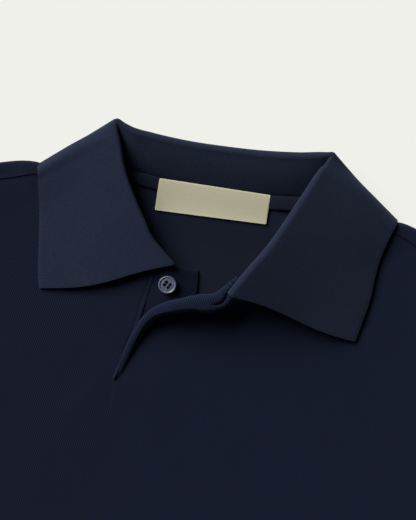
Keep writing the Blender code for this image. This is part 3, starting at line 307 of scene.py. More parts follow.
# Soft troughs and ridges of the laid cloth, in millimetres and degrees: centre, reach along and across the
# crest, its direction, and its height.
FoldRow = namedtuple("FoldRow", "x y length width turn height")
BROAD_WAVES = (
    FoldRow(-150, -330, 150, 34, 62, 1.6),
    FoldRow(170, -360, 170, 38, 116, 1.8),
    FoldRow(40, -520, 190, 46, 84, 1.4),
    FoldRow(-110, -600, 150, 40, 98, 1.2),
    FoldRow(175, -610, 120, 36, 76, 1.3),
    FoldRow(-175, -215, 90, 26, 38, 1.3),
    FoldRow(168, -205, 100, 28, 146, 1.4),
)
FINE_CREASES = (
    FoldRow(-222, -286, 46, 7, 28, 0.9),
    FoldRow(-206, -318, 58, 9, 12, 0.8),
    FoldRow(-214, -262, 40, 6, 44, -0.6),
    FoldRow(220, -290, 50, 7, 150, 1.0),
    FoldRow(204, -326, 64, 9, 166, 0.8),
    FoldRow(212, -266, 38, 6, 134, -0.6),
    FoldRow(-196, -150, 44, 8, 74, 0.7),
    FoldRow(198, -140, 46, 8, 104, 0.7),
    FoldRow(-90, -420, 90, 10, 70, 0.7),
    FoldRow(-62, -452, 70, 9, 64, -0.5),
    FoldRow(110, -470, 96, 11, 108, 0.8),
    FoldRow(14, -640, 80, 12, 88, 0.7),
    FoldRow(-205, -520, 70, 9, 82, 0.8),
    FoldRow(214, -500, 76, 9, 98, 0.8),
    FoldRow(-160, -690, 34, 10, 94, 0.7),
    FoldRow(90, -700, 30, 10, 88, 0.7),
    FoldRow(-64, -176, 26, 8, 56, 0.7),
    FoldRow(-38, -186, 34, 9, 78, -0.5),
)
SLEEVE_CREASES = (
    FoldRow(262, -150, 44, 8, 84, 0.9),
    FoldRow(250, -214, 40, 7, 58, 0.8),
    FoldRow(300, -232, 52, 9, 40, 0.7),
    FoldRow(330, -160, 60, 10, 70, 0.6),
    FoldRow(368, -222, 36, 9, 62, 0.6),
    FoldRow(272, -262, 34, 6, 30, -0.5),
)

# How finely the pieces are divided.
COLLAR_STEPS = (26, 40, 46)
SECTION_STEPS = (8, 16, 14, 14)  # up the stand, over the fold, and the two halves of the fall
SHOULDER_STEPS = 34
WRAP_STEPS, WRAP_TAIL_STEPS = 12, 6  # over the shoulder fold, and on to its seam
NECK_STEPS = 44
LOW_STEPS, HIGH_STEPS = 38, 96  # below and above the underarm
HIGH_CROWDING = 1.7         # power that crowds the rows towards the neck
CREST_STEPS = 96
LIP_STEPS = 14
NECKLINE_STEPS = 40
OPENING_STEPS = 60
SIDE_COLUMNS = 84
BACK_NECK_POINTS, FRONT_NECK_POINTS, CREST_POINTS, CREASE_POINTS = 160, 240, 300, 120
SLEEVE_RINGS, SLEEVE_COLUMNS, SLEEVE_FOLD_STEPS = 60, 44, 6
PLACKET_ROWS, PLACKET_RIM_STEPS = 82, 8
PLACKET_STEP_WIDTH = 1.2 * MM
PLACKET_COLUMNS = (7, 9, 34)  # under the front, over the step beside it, and on to the free edge
TAPE_COLUMNS, TAPE_ROWS = 133, 17
LABEL_COLUMNS, LABEL_ROWS = 72, 24
BUTTON_SIDES, HOLE_SIDES, SHANK_SIDES = 64, 20, 16
HEM_POINTS, OPENING_POINTS, CUFF_POINTS, TAPE_POINTS = 200, 60, 160, 120  # of the lines that stitches follow


# ---------------------------------------------------------------- curves and blends
def smooth(knots, values, at):
    """A smooth curve through the rows of a table, whose slopes come from the neighbouring rows."""
    knots = np.asarray(knots, float)
    values = np.asarray(values, float).reshape(len(knots), -1)
    at = np.atleast_1d(np.asarray(at, float))
    step = np.diff(knots)[:, None]
    rise = np.diff(values, axis=0) / step
    slope = np.empty_like(values)
    slope[1:-1] = (rise[:-1] * step[1:] + rise[1:] * step[:-1]) / (step[:-1] + step[1:])
    slope[0], slope[-1] = rise[0], rise[-1]
    i = np.clip(np.searchsorted(knots, at, side="right") - 1, 0, len(knots) - 2)
    h = step[i]
    t = (np.clip(at, knots[0], knots[-1]) - knots[i])[:, None] / h
    return (
        (1 + 2 * t) * (1 - t) ** 2 * values[i]
        + t * (1 - t) ** 2 * h * slope[i]
        + t * t * (3 - 2 * t) * values[i + 1]
        + t * t * (t - 1) * h * slope[i + 1]
    )


def ease(value):
    """0 below 0, 1 above 1, and a smooth step between them."""
    value = np.clip(value, 0, 1)
    return value * value * (3 - 2 * value)


def fade(away, reach, power=2.0):
    """1 on a line, and less with the distance from it."""
    return np.exp(-((np.abs(away) / reach) ** power))


def blend(first, second, share):
    return first + (second - first) * share


def lengths(points):
    """Distance along a row of points, from its first one."""
    points = np.asarray(points, float)
    return np.concatenate([[0], np.cumsum(np.linalg.norm(np.diff(points, axis=0), axis=1))])


def along_line(at, run, points):
    """Places at the given distances along a row of points whose own distances are run."""
    return np.stack([np.interp(at, run, column) for column in points.T], axis=1)


def spaced(points, count):
    """count + 1 points at even distances along a row of points."""
    run = lengths(points)
    return along_line(np.linspace(0, run[-1], count + 1), run, points)


def square_to(line):
    """For each point of a line in plan, the unit vector to its left."""
    run = np.gradient(line[:, :2], axis=0)
    run /= np.linalg.norm(run, axis=1)[:, None]
    return np.column_stack([-run[:, 1], run[:, 0]])


def nearest(points, line):
    """For each point, its distance in plan to a line of points, and the index of the line's nearest one."""
    away = np.empty(len(points))
    index = np.empty(len(points), int)
    for start in range(0, len(points), 4000):
        part = slice(start, start + 4000)
        gaps = np.linalg.norm(points[part, None, :2] - line[None, :, :2], axis=2)
        index[part] = gaps.argmin(axis=1)
        away[part] = gaps.min(axis=1)
    return away, index


def table_curve(rows, count):
    """count + 1 points of the smooth curve through a table's rows, in metres."""
    run = lengths([row[:2] for row in rows])
    return smooth(run, rows, np.linspace(0, run[-1], count + 1)) * MM


def edge_x(table, y):
    """Where an outline lies at y. Past the ends of its table it keeps to the end's x."""
    return smooth([row.y for row in table], [row.x for row in table], np.atleast_1d(y) / MM)[:, 0] * MM


# ---------------------------------------------------------------- the collar's form
def collar_line(column, at):
    """One column of the collar's table as a smooth curve, in metres."""
    knots = [row.round for row in STATIONS]
    return smooth(knots, [getattr(row, column) for row in STATIONS], at) * MM


def touch(point, centre, radius, turn):
    """Where a straight line from point touches a circle, on the side that turn gives."""
    to_centre = centre - point
    far = math.hypot(*to_centre)
    angle = math.atan2(to_centre[1], to_centre[0]) + turn * math.asin(min(0.999, radius / far))
    reach = math.sqrt(max(far * far - radius * radius, 0))
    return point + reach * np.array([math.cos(angle), math.sin(angle)])


def collar_section(at, wall, step=1.0):
    """The collar's middle surface at one place: up the stand, over the fold and down the fall."""
    seam, fold, middle, edge = (collar_line(c, at)[0] for c in ("seam", "fold", "middle", "edge"))
    radius = float(collar_line("roll", at)[0, 0])
    stand_steps, roll_steps, fall_steps, tail_steps = SECTION_STEPS
    ahead = collar_line("fold", min(at + step, COLLAR_REACH))[0]
    behind = collar_line("fold", max(at - step, -COLLAR_REACH))[0]
    run = (ahead - behind)[:2]
    run = run / np.linalg.norm(run)
    out = np.array([-run[1], run[0]])

    def flat(point):
        away = point[:2] - fold[:2]
        return np.array([away @ out, point[2]]), away @ run

    def solid(pair, drift):
        return np.array([*(fold[:2] + pair[0] * out + drift * run), pair[1]])

    centre = np.array([0.0, fold[2]])
    (seam_pair, seam_drift), (middle_pair, middle_drift) = flat(seam), flat(middle)
    on, off = touch(seam_pair, centre, radius, 1), touch(middle_pair, centre, radius, -1)
    first = math.atan2(*(on - centre)[::-1])
    last = math.atan2(*(off - centre)[::-1])
    if last > first:
        last -= 2 * math.pi
    stand = np.arange(stand_steps) / stand_steps
    lean = on - seam_pair
    puff = STAND_PUFF * (1 - ease((abs(at) - PUFF_END) / PUFF_FADE))
    up = np.array([-lean[1], lean[0]]) / np.linalg.norm(lean)
    points = []
    for share in stand:
        pair = blend(seam_pair, on, share) + up * (puff * math.sin(math.pi * share))
        points.append(solid(pair, seam_drift * (1 - share)))
    for angle in np.linspace(first, last, roll_steps + 1):
        points.append(solid(centre + radius * np.array([math.cos(angle), math.sin(angle)]), 0.0))
    knots = lengths([points[-1], solid(middle_pair, middle_drift), edge])
    upper = np.linspace(0, knots[1], fall_steps + 1)[1:]
    lower = np.linspace(knots[1], knots[2], tail_steps + 1)[1:]
    fall = np.concatenate([upper, lower])
    fall_points = smooth(knots, [points[-1], middle, edge], fall)
    near_end = ease((abs(at) - COLLAR_REACH) / SWAY_REACH + 1)
    sway = LEAF_SWAY * near_end * np.sin(2 * math.pi * fall / knots[-1]) * math.copysign(1, at)
    fall_points[:, :2] -= sway[:, None] * run[None, :]
    points = np.vstack([points, fall_points])
    points[:, 2] = np.maximum(points[:, 2], wall / 2)
    return points


def collar_places():
    """Places round the neck, close together where the collar turns over the shoulder."""
    knots = (0, *COLLAR_TURN, COLLAR_REACH)
    half = [np.linspace(*ends, endpoint=False) for ends in zip(knots, knots[1:], COLLAR_STEPS)]
    half = np.concatenate([*half, [COLLAR_REACH]])
    return np.concatenate([-half[:0:-1], half])


NECK_BACK = collar_line("seam", np.linspace(-BACK_NECK_REACH, BACK_NECK_REACH, BACK_NECK_POINTS))
NECK_BUTTON_SIDE = collar_line("seam", np.linspace(-COLLAR_REACH, -FRONT_NECK_START, FRONT_NECK_POINTS))
NECK_BUTTONHOLE_SIDE = collar_line("seam", np.linspace(FRONT_NECK_START, COLLAR_REACH, FRONT_NECK_POINTS))
CREST = table_curve(TURNED_EDGE, CREST_POINTS)
CREASE = table_curve(ROLL_CREASE, CREASE_POINTS)


# ---------------------------------------------------------------- the body's outlines and heights
def half_width(y):
    """Half the body's width: the side seam below the underarm, and the armhole above it."""
    side = blend(HALF_HEM, HALF_CHEST, ease((y - HEM_Y) / (UNDERARM_Y - HEM_Y)))
    return np.where(y < UNDERARM_Y, side, edge_x(ARMHOLE, y))


def shoulder_fold_y(x):
    """Where the shoulder fold lies, seen from above."""
    x = np.atleast_1d(x)
    out = [row.out for row in SHOULDER_FOLD]
    button_side, buttonhole_side = smooth(out, [row[1:] for row in SHOULDER_FOLD], np.abs(x) / MM).T
    return np.where(x < 0, button_side, buttonhole_side) * MM


def forward_seam(x):
    """How far in front of the shoulder fold its seam lies."""
    start, end = FORWARD_SEAM_GROWTH
    return blend(*FORWARD_SEAM, ease((np.abs(x) - start) / (end - start)))


def back_height(x, y, wall):
    """Middle of the back panel's wall over the floor. It rises where the collar's fall lies beneath it."""
    low_y, rise, corner_x = FALL_EDGE
    edge = low_y + rise * (x / corner_x) ** 2
    below = ease((edge - FALL_CLEAR_BELOW - y) / FALL_FADE_BELOW)
    outside = ease((np.abs(x) - corner_x - FALL_CLEAR_SIDE) / FALL_FADE_SIDE)
    return wall / 2 + COLLAR_UNDER_LIFT * (1 - below) * (1 - outside)


def fold_height(x, y, rows):
    """The sum of a table's soft troughs and ridges."""
    total = np.zeros_like(x)
    for row in rows:
        turn = math.radians(row.turn)
        dx, dy = x / MM - row.x, y / MM - row.y
        along = dx * math.cos(turn) + dy * math.sin(turn)
        across = -dx * math.sin(turn) + dy * math.cos(turn)
        total += row.height * MM * np.exp(-((along / row.length) ** 2) - (across / row.width) ** 2)
    return total


def placket_height(x, y):
    """Middle of the under placket's wall. It climbs to the collar, and falls away to its free edge."""
    foot, neck = PLACKET_CLIMB
    left, right = edge_x(BUTTON_SIDE_EDGE, y), edge_x(PLACKET_FREE_EDGE, y)
    across = (x - left) / (right - left)
    rise = blend(PLACKET_AT_SEAM, 1, ease(across / PLACKET_PEAK))
    rise = rise * (1 - np.clip((across - PLACKET_PEAK) / (1 - PLACKET_PEAK), 0, 1) ** PLACKET_DROOP)
    depth, width, start = PLACKET_JOGGLE
    step = depth * (1 - ease((x - left - start) / width))
    height = PLACKET_LOW + (PLACKET_HIGH - PLACKET_LOW) * rise * ease((y - foot) / (neck - foot)) - step
    return np.maximum(height, PLACKET_LEAST)


def laid_front_height(x, y, sizes):
    """Middle of the front panel's wall, before the neck and the opening lift it."""
    past_underarm = UNDERARM_EASE * np.maximum(y - UNDERARM_Y, 0)
    from_side = half_width(y) - np.abs(x) + past_underarm
    inside = ease(np.minimum(from_side, y - HEM_Y) / SIDE_REACH)
    at_side = blend(sizes.cloth_wall + SIDE_LOFT_LEAST, SIDE_LOFT, fade(from_side, SIDE_EDGE_REACH))
    from_shoulder = shoulder_fold_y(x) - forward_seam(x) - y
    folds = fold_height(x, y, BROAD_WAVES) + fold_height(x, y, FINE_CREASES) * sizes.crease_depth
    height = back_height(x, y, sizes.cloth_wall) + blend(at_side, FRONT_LOFT, inside) + folds * inside
    hem = sizes.hem_step * ease((HEM_Y + sizes.hem_depth - y) / HEM_EASE + 0.5) * inside
    return height + hem + SHOULDER_LIFT * (1 - ease(from_shoulder / SHOULDER_LIFT_REACH))


def over_placket(x, y, height, sizes):
    """The front's middle where it lies on the under placket, and a soft slope beside it."""
    left, right = edge_x(BUTTON_SIDE_EDGE, y) - PLACKET_TUCK, edge_x(PLACKET_FREE_EDGE, y)
    away = np.maximum.reduce([left - x, x - right, PLACKET_FOOT_Y - y, np.zeros_like(x)])
    cover = placket_height(x, y) + (sizes.placket_wall + sizes.cloth_wall) / 2 + LAYER_GAP
    return blend(height, np.maximum(cover, height), fade(away, PLACKET_COVER_REACH))


def turned_edge_height(x, y, height, sizes):
    """Lifts the front to the turned-back edge: a rounded top, a steep outer side and a soft foot."""
    points = np.stack([x, y], axis=1)
    away, index = nearest(points, CREST)
    row = CREST[index]
    shelf = row[:, 4]
    top = row[:, 2] - ROLL_ROUND * shelf * np.minimum(away / shelf, ROLL_ROUND_END) ** 2
    steep = 1 - ease((away - shelf) / sizes.roll_drop)
    foot = FOOT_SHARE * fade(np.maximum(away - shelf, 0), FOOT_REACH, 1.2)
    share = blend(foot, 1, steep) * ease(index / ROLL_START)
    height = blend(height, np.maximum(top, height), share)
    to_crease, place = nearest(points, CREASE)
    depth = sizes.crease_cut * ease(place / CREASE_START) * fade(to_crease, CREASE_HALF_WIDTH)
    return height - depth


def front_height(x, y, neck, sizes, turned=False):
    """The front panel's middle, lifted to the neck seam and, where asked, to the turned-back edge."""
    height = laid_front_height(x, y, sizes)
    away, index = nearest(np.stack([x, y], axis=1), neck)
    reach = NECK_FADE
    if turned:
        near_end = ease((index / (len(neck) - 1) - NECK_END_START) / (1 - NECK_END_START))
        reach = blend(NECK_FADE, NECK_END_FADE, near_end)
    height = blend(height, neck[index, 2] - NECK_DROP, fade(away, reach, 1.5))
    if turned:
        return over_placket(x, y, turned_edge_height(x, y, height, sizes), sizes)
    from_edge = edge_x(BUTTON_SIDE_EDGE, y) - x
    opening = ease((y - BUTTON_SIDE_EDGE[1].y * MM) / OPENING_FADE)
    depth, place, width = EDGE_DIP
    return over_placket(x, y, height, sizes) - depth * opening * fade(from_edge - place, width)


def shoulder_wrap(x, wall):
    """The back panel's path over the shoulder fold at one x, up to the forward seam."""
    fold_y = float(shoulder_fold_y(x)[0])
    axis_y = fold_y - SHOULDER_ROLL
    low = float(back_height(np.array([x]), np.array([axis_y]), wall)[0])
    turn = np.linspace(0, math.pi, WRAP_STEPS + 1)
    arc = np.stack([axis_y + SHOULDER_ROLL * np.sin(turn), low + SHOULDER_ROLL * (1 - np.cos(turn))], axis=1)
    seam_y = fold_y - float(forward_seam(x))
    seam_z = low + FRONT_LOFT + SHOULDER_LIFT + SEAM_STEP
    shares = np.linspace(0, 1, WRAP_TAIL_STEPS + 1)[1:]
    tail = [(blend(axis_y, seam_y, s), blend(arc[-1, 1], seam_z, ease(s))) for s in shares]
    path = np.vstack([arc, tail])
    return np.column_stack([np.full(len(path), x), path])


LOW_ROWS = np.linspace(HEM_Y, UNDERARM_Y, LOW_STEPS + 1)
HIGH_SHARE = 1 - np.linspace(1, 0, HIGH_STEPS + 1) ** HIGH_CROWDING
SHOULDER_X = np.linspace(SHOULDER_INNER_X, SHOULDER_POINT[0], SHOULDER_STEPS + 1)
FOOT_X, FOOT_Y = BUTTON_SIDE_EDGE[0].x * MM, BUTTON_SIDE_EDGE[0].y * MM


def armhole_line(top_y):
    """The armhole from the underarm to a height, as the row of points that body and sleeve share."""
    y = blend(UNDERARM_Y, top_y, HIGH_SHARE)
    line = np.column_stack([half_width(y), y])
    line[-1, 0] = SHOULDER_POINT[0]
    return line


def shoulder_seam(side, wall):
    """The front panel's shoulder edge, from the neck out to the shoulder point."""
    x = SHOULDER_X * side
    fold_y = shoulder_fold_y(x)
    low = back_height(x, fold_y - SHOULDER_ROLL, wall)
    return np.stack([x, fold_y - forward_seam(x) - SEAM_GAP, low + FRONT_LOFT + SHOULDER_LIFT], axis=1)


def off_the_neck(line):
    """A stretch of the neck seam in plan, moved outwards by the gap at the neckline."""
    away = square_to(line)
    return line[:, :2] + NECK_GAP * away * np.sign(away[:, 0] * line[:, 0])[:, None]


def back_grid(wall):
    """The back panel's points, hem to neck and shoulder folds."""
    neck_x = np.linspace(-BACK_NECK_HALF, BACK_NECK_HALF, NECK_STEPS + 1)
    tops = np.concatenate([-SHOULDER_X[::-1], neck_x, SHOULDER_X])
    neck_y = np.interp(tops, NECK_BACK[:, 0], NECK_BACK[:, 1]) - NECK_GAP
    on_neck = np.abs(tops) < SHOULDER_INNER_X - NECK_MARGIN
    top_y = np.where(on_neck, neck_y, shoulder_fold_y(tops) - SHOULDER_ROLL)
    columns = []
    for x, y_top in zip(tops, top_y):
        y = np.concatenate([LOW_ROWS, blend(UNDERARM_Y, y_top, HIGH_SHARE[1:])])
        share = x / SHOULDER_POINT[0]
        side = half_width(y) * share
        straight = blend(HALF_CHEST, SHOULDER_POINT[0], (y - UNDERARM_Y) / (y_top - UNDERARM_Y)) * share
        across = np.where(y < UNDERARM_Y, side, blend(straight, side, abs(share) ** ARMHOLE_FADE))
        across[-1] = x
        columns.append(np.stack([across, y, back_height(across, y, wall)], axis=1))
    return np.array(columns).transpose(1, 0, 2)


def front_button_grid(sizes):
    """The button side of the front: rows of points from the neck and the opening out to its side."""
    high = blend(UNDERARM_Y, FOOT_Y, HIGH_SHARE)
    opening_y = np.linspace(FOOT_Y, BUTTON_SIDE_EDGE[-1].y * MM, OPENING_STEPS + 1)
    opening = np.column_stack([edge_x(BUTTON_SIDE_EDGE, opening_y), opening_y])
    seam = shoulder_seam(-1, sizes.cloth_wall)
    neckline = off_the_neck(NECK_BUTTON_SIDE)
    keep = (neckline[:, 0] < opening[-1, 0] - 2 * NECK_MARGIN) & (neckline[:, 1] < seam[0, 1] - NECK_MARGIN)
    neckline = spaced(np.vstack([opening[-1:], neckline[keep], seam[:1, :2]]), NECKLINE_STEPS)
    below = np.concatenate([LOW_ROWS, high[1:]])
    inner = np.vstack([np.column_stack([np.full(len(below), FOOT_X), below]), opening[1:], neckline[1:]])
    hole = spaced(armhole_line(seam[-1, 1]), len(inner) - len(LOW_ROWS))
    side = np.column_stack([half_width(LOW_ROWS[:-1]), LOW_ROWS[:-1]])
    outer = np.vstack([side, hole]) * np.array([-1, 1])
    outer[-1] = seam[-1, :2]
    rise = np.clip((np.arange(len(inner)) - LOW_STEPS) / (len(inner) - LOW_STEPS - 1), 0, 1) ** 4
    even = np.linspace(0, 1, SHOULDER_STEPS + 1)
    finer = np.linspace(0, 1, SIDE_COLUMNS + 1)
    seam = along_line(finer, even, seam)
    shares = blend(finer[None, :] ** HIGH_CROWDING, finer[None, :], rise[:, None])
    grid = blend(inner[:, None, :], outer[:, None, :], shares[:, :, None])
    bend = seam[:, 1] - grid[-1, :, 1]
    grid[:, :, 1] += rise[:, None] * bend[None, :]
    x, y = grid[:, :, 0].ravel(), grid[:, :, 1].ravel()
    height = front_height(x, y, NECK_BUTTON_SIDE, sizes).reshape(grid.shape[:2])
    height[-1] = seam[:, 2]
    return np.dstack([grid, height])


def turned_lip(crest):
    """Points that roll the turned-back edge over and under, square to its crest."""
    to_neck = square_to(crest)
    rows = []
    for turn in np.linspace(0, math.pi, LIP_STEPS + 1)[1:]:
        reach, drop = np.sin(turn) * crest[:, 3], (1 - np.cos(turn)) * crest[:, 3]
        rows.append(np.column_stack([crest[:, :2] + to_neck * reach[:, None], crest[:, 2] - drop]))
    full = blend(LIP_TURN_LEAST, 1, ease(lengths(crest[:, :2]) / LIP_TURN_GROWTH))
    tuck = LIP_TURN_UNDER * crest[:, 4] * full
    for share in LIP_SHARES:
        under = crest[:, :2] - to_neck * (tuck * share)[:, None]
        rows.append(np.column_stack([under, rows[LIP_STEPS - 1][:, 2]]))
    return rows


def front_buttonhole_grids(sizes):
    """The other side of the front, up to the turned-back edge, neck and shoulder, and the lip beyond it."""
    high = blend(UNDERARM_Y, FOOT_Y, HIGH_SHARE)
    crest = spaced(CREST, CREST_STEPS)
    shoulder = shoulder_seam(1, sizes.cloth_wall)
    neckline = off_the_neck(NECK_BUTTONHOLE_SIDE[::-1])
    neckline = neckline[(neckline[:, 1] < shoulder[0, 1] - NECK_MARGIN) & (neckline[:, 1] > crest[-1, 1])]
    neckline = spaced(np.vstack([crest[-1, :2], neckline, shoulder[:1, :2]]), NECKLINE_STEPS)
    tops = np.vstack([crest[:, :2], neckline[1:-1], shoulder[:, :2]])
    run = lengths(tops)
    share = blend(run / run[-1], np.linspace(0, 1, len(tops)), 0.5)
    grid = np.empty((len(LOW_ROWS) + len(high) - 1, len(tops), 2))
    for i, (top, out) in enumerate(zip(tops, share)):
        y = blend(UNDERARM_Y, top[1], HIGH_SHARE)
        climb = (y - UNDERARM_Y) / (top[1] - UNDERARM_Y)
        straight = blend(HALF_CHEST, SHOULDER_POINT[0], climb)
        x = blend(blend(FOOT_X, HALF_CHEST, out), top[0], climb)
        x = x + (half_width(y) - straight) * out**ARMHOLE_FADE
        grid[: len(LOW_ROWS), i] = np.column_stack([blend(FOOT_X, half_width(LOW_ROWS), out), LOW_ROWS])
        grid[len(LOW_ROWS):, i] = np.column_stack([x, y])[1:]
        grid[-1, i] = top
    x, y = grid[:, :, 0].ravel(), grid[:, :, 1].ravel()
    height = front_height(x, y, NECK_BUTTONHOLE_SIDE, sizes, turned=True).reshape(grid.shape[:2])
    height[:, 0] = front_height(grid[:, 0, 0], grid[:, 0, 1], NECK_BUTTON_SIDE, sizes)
    height[-1, 1:len(crest)] = crest[1:, 2]
    height[-1, -len(shoulder):] = shoulder[:, 2]
    crest[0, 2] = height[-1, 0]
    lip = np.array([crest[:, :3]] + turned_lip(crest))
    return np.dstack([grid, height]), lip[:, 1:]


def tape_y(x, share, sizes):
    """A line along the neck tape, from its upper edge (0) to its lower one (1)."""
    top = np.interp(x, NECK_BACK[:, 0], NECK_BACK[:, 1]) - NECK_GAP
    width = blend(sizes.tape_width_right, sizes.tape_width_left, (x / TAPE_HALF_LENGTH + 1) / 2)
    return top - width * share


def sleeve_grid(side, sizes):
    """The sleeve's flattened tube, ring by ring from the armhole to the cuff."""
    wall = sizes.cloth_wall
    wrap = shoulder_wrap(SHOULDER_POINT[0] * side, wall) * np.array([side, 1, 1])
    seam = shoulder_seam(side, wall)[-1] * np.array([side, 1, 1])
    below = spaced(armhole_line(wrap[0, 1]), SLEEVE_COLUMNS)
    above = spaced(armhole_line(seam[1]), SLEEVE_COLUMNS)[::-1]
    under = np.column_stack([below, back_height(below[:, 0], below[:, 1], wall)])
    over = np.column_stack([above, laid_front_height(above[:, 0] * side, above[:, 1], sizes)])
    over[0, 2] = seam[2]
    hole = [part + np.array([ARMHOLE_GAP, 0, 0]) for part in (under, wrap[1:], over)]
    cuff_top = np.array(SHOULDER_POINT) + SLEEVE_LENGTH * SLEEVE_WAY
    down = np.linspace(1, 0, len(under))[:, None]
    cuff_under = np.column_stack([cuff_top + down * CUFF_WAY * CUFF_WIDTH, np.full(len(under), wall / 2)])
    cuff_over = cuff_under[::-1] * np.array([1, 1, 0]) + np.array([0, 0, wall / 2 + FRONT_LOFT])
    turn = np.linspace(0, math.pi, len(wrap))[1:, None]
    fold = cuff_top - np.sin(turn) * CUFF_WAY * FRONT_LOFT / 2
    cuff_fold = np.column_stack([fold, wall / 2 + FRONT_LOFT / 2 * (1 - np.cos(turn))])
    cuff_over[0] = blend(cuff_over[0], cuff_over[1], CUFF_TOP_BLEND)
    cuff = (cuff_under, cuff_fold, cuff_over)
    rings = []
    for share in np.linspace(0, 1, SLEEVE_RINGS + 1):
        low, wrapped, top = (blend(a, b, share) for a, b in zip(hole, cuff))
        across = np.sin(np.linspace(0, math.pi, len(top)))
        on_hem = ease((share - 1 + sizes.hem_depth / SLEEVE_LENGTH) * SLEEVE_HEM_STEEPNESS)
        lift = SLEEVE_SWELL * math.sin(math.pi * share) + sizes.hem_step * float(on_hem)
        creases = fold_height(top[:, 0], top[:, 1], SLEEVE_CREASES) * sizes.crease_depth
        top[:, 2] += lift * across + creases * across * math.sin(math.pi * min(share + 0.1, 1))
        rings.append(sleeve_ring(low, wrapped, top) * np.array([side, 1, 1]))
    return np.array(rings)


def sleeve_ring(under, wrap, over):
    """One closed ring of the sleeve: up the floor side, over the fold, down the top and round below."""
    low, high = under[0], over[-1]
    reach, height, half_turn = UNDERARM_FOLD
    way = np.array([under[0, 0] - under[1, 0], under[0, 1] - under[1, 1], 0])
    way *= reach * (high[2] - low[2]) / 2 / np.linalg.norm(way)
    rise = height * (high - low) / 2
    turns = np.linspace(half_turn, -half_turn, SLEEVE_FOLD_STEPS + 1)
    fold = [(low + high) / 2 + way * math.cos(turn) + rise * math.sin(turn) for turn in turns]
    return np.vstack([under, wrap, over, fold, under[:1]])


# ---------------------------------------------------------------- modelling
SHIFT = sum(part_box("label"), Vector()) / 2 - LABEL_CENTRE  # from the cutter's axes to the frame's
DOWN = Vector((0, 0, -1))
ABOVE_ALL = 60 * MM
STEEPEST_STITCH = 0.7       # no stitch is laid where the cloth falls off more steeply
MERGE_DISTANCE = 0.03 * MM


def deselect_all():
    bpy.ops.object.select_all(action="DESELECT")


def make_active(made):
    deselect_all()
    made.select_set(True)
    bpy.context.view_layer.objects.active = made


@contextmanager
def edit_mode():
    bpy.ops.object.mode_set(mode="EDIT")
    yield
    bpy.ops.object.mode_set(mode="OBJECT")


def select_nothing(made):
    """Deselects all of a mesh, so that what is wanted can be selected by its place."""
    make_active(made)
    with edit_mode():
        bpy.ops.mesh.select_all(action="DESELECT")


def smooth_sides(made, sharp):
    """Shades a mesh smooth, apart from edges sharper than an angle in degrees."""
    make_active(made)
    bpy.ops.object.shade_smooth_by_angle(angle=math.radians(sharp))


def cloth_lengths(places):
    """Each point's place on the cloth: x across it, and the distance along its column."""
    step = np.linalg.norm(np.diff(places, axis=0), axis=2)
    run = np.vstack([np.zeros(places.shape[1]), np.cumsum(step, axis=0)])
    return np.dstack([places[:, :, 0], run])


def laid_grid(name, places, cloth_uv):
    """A grid primitive with its points laid on the given places, and a UV map of places on the cloth."""
    rows, columns = places.shape[:2]
    deselect_all()
    bpy.ops.mesh.primitive_grid_add(x_subdivisions=columns - 1, y_subdivisions=rows - 1, size=2)
    made = bpy.context.object
    made.name = made.data.name = name
    mesh = made.data
    flat = np.empty(len(mesh.vertices) * 3)
    mesh.vertices.foreach_get("co", flat)
    flat = flat.reshape(-1, 3)
    column = np.rint((flat[:, 0] + 1) / 2 * (columns - 1)).astype(int)
    row = np.rint((flat[:, 1] + 1) / 2 * (rows - 1)).astype(int)
    mesh.vertices.foreach_set("co", (places[row, column] + np.array(SHIFT)).ravel())
    corner = np.empty(len(mesh.loops), int)
    mesh.loops.foreach_get("vertex_index", corner)
    mesh.uv_layers.active.data.foreach_set("uv", cloth_uv[row, column][corner].astype(np.float32).ravel())
    mesh.update()
    return made


def as_one(name, parts):
    """Several objects joined into one."""
    make_active(parts[0])
    for part in parts:
        part.select_set(True)
    if len(parts) > 1:
        bpy.ops.object.join()
    made = bpy.context.object
    made.name = made.data.name = name
    return made


def joined(name, parts):
    """Several laid grids as one cloth, with the points that they share merged."""
    made = as_one(name, parts)
    with edit_mode():
        bpy.ops.mesh.select_all(action="SELECT")
        bpy.ops.mesh.remove_doubles(threshold=MERGE_DISTANCE)
        bpy.ops.mesh.normals_make_consistent(inside=False)
    return made


def apply_modifier(made, kind, **settings):
    """Adds a modifier with the given settings and applies it."""
    make_active(made)
    modifier = made.modifiers.new(kind.lower(), kind)
    for key, value in settings.items():
        setattr(modifier, key, value)
    bpy.ops.object.modifier_apply(modifier=modifier.name)


def round_edges(made, width, segments, sharp):
    """Rounds the edges that are sharper than an angle in degrees."""
    limit = math.radians(sharp)
    apply_modifier(made, "BEVEL", width=width, segments=segments, limit_method="ANGLE", angle_limit=limit)


def make_wall(made, thickness, edge):
    """Gives a cloth its even wall, with its cut edges rounded off."""
    apply_modifier(made, "SOLIDIFY", thickness=thickness, offset=0, use_quality_normals=True)
    round_edges(made, edge, segments=2, sharp=55)
    smooth_sides(made, sharp=50)


def dress(made, material, node=None):
    """Gives a finished piece its material and its body, and hides the frame's part that it stands for."""
    made.data.materials.clear()
    made.data.materials.append(material)
    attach(made, "root")
    if node:
        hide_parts(node)


def surface_of(name):
    """A search tree over a finished piece, for laying stitches on it."""
    mesh = bpy.data.objects[name].data
    points = [vertex.co.copy() for vertex in mesh.vertices]
    return BVHTree.FromPolygons(points, [tuple(polygon.vertices) for polygon in mesh.polygons])


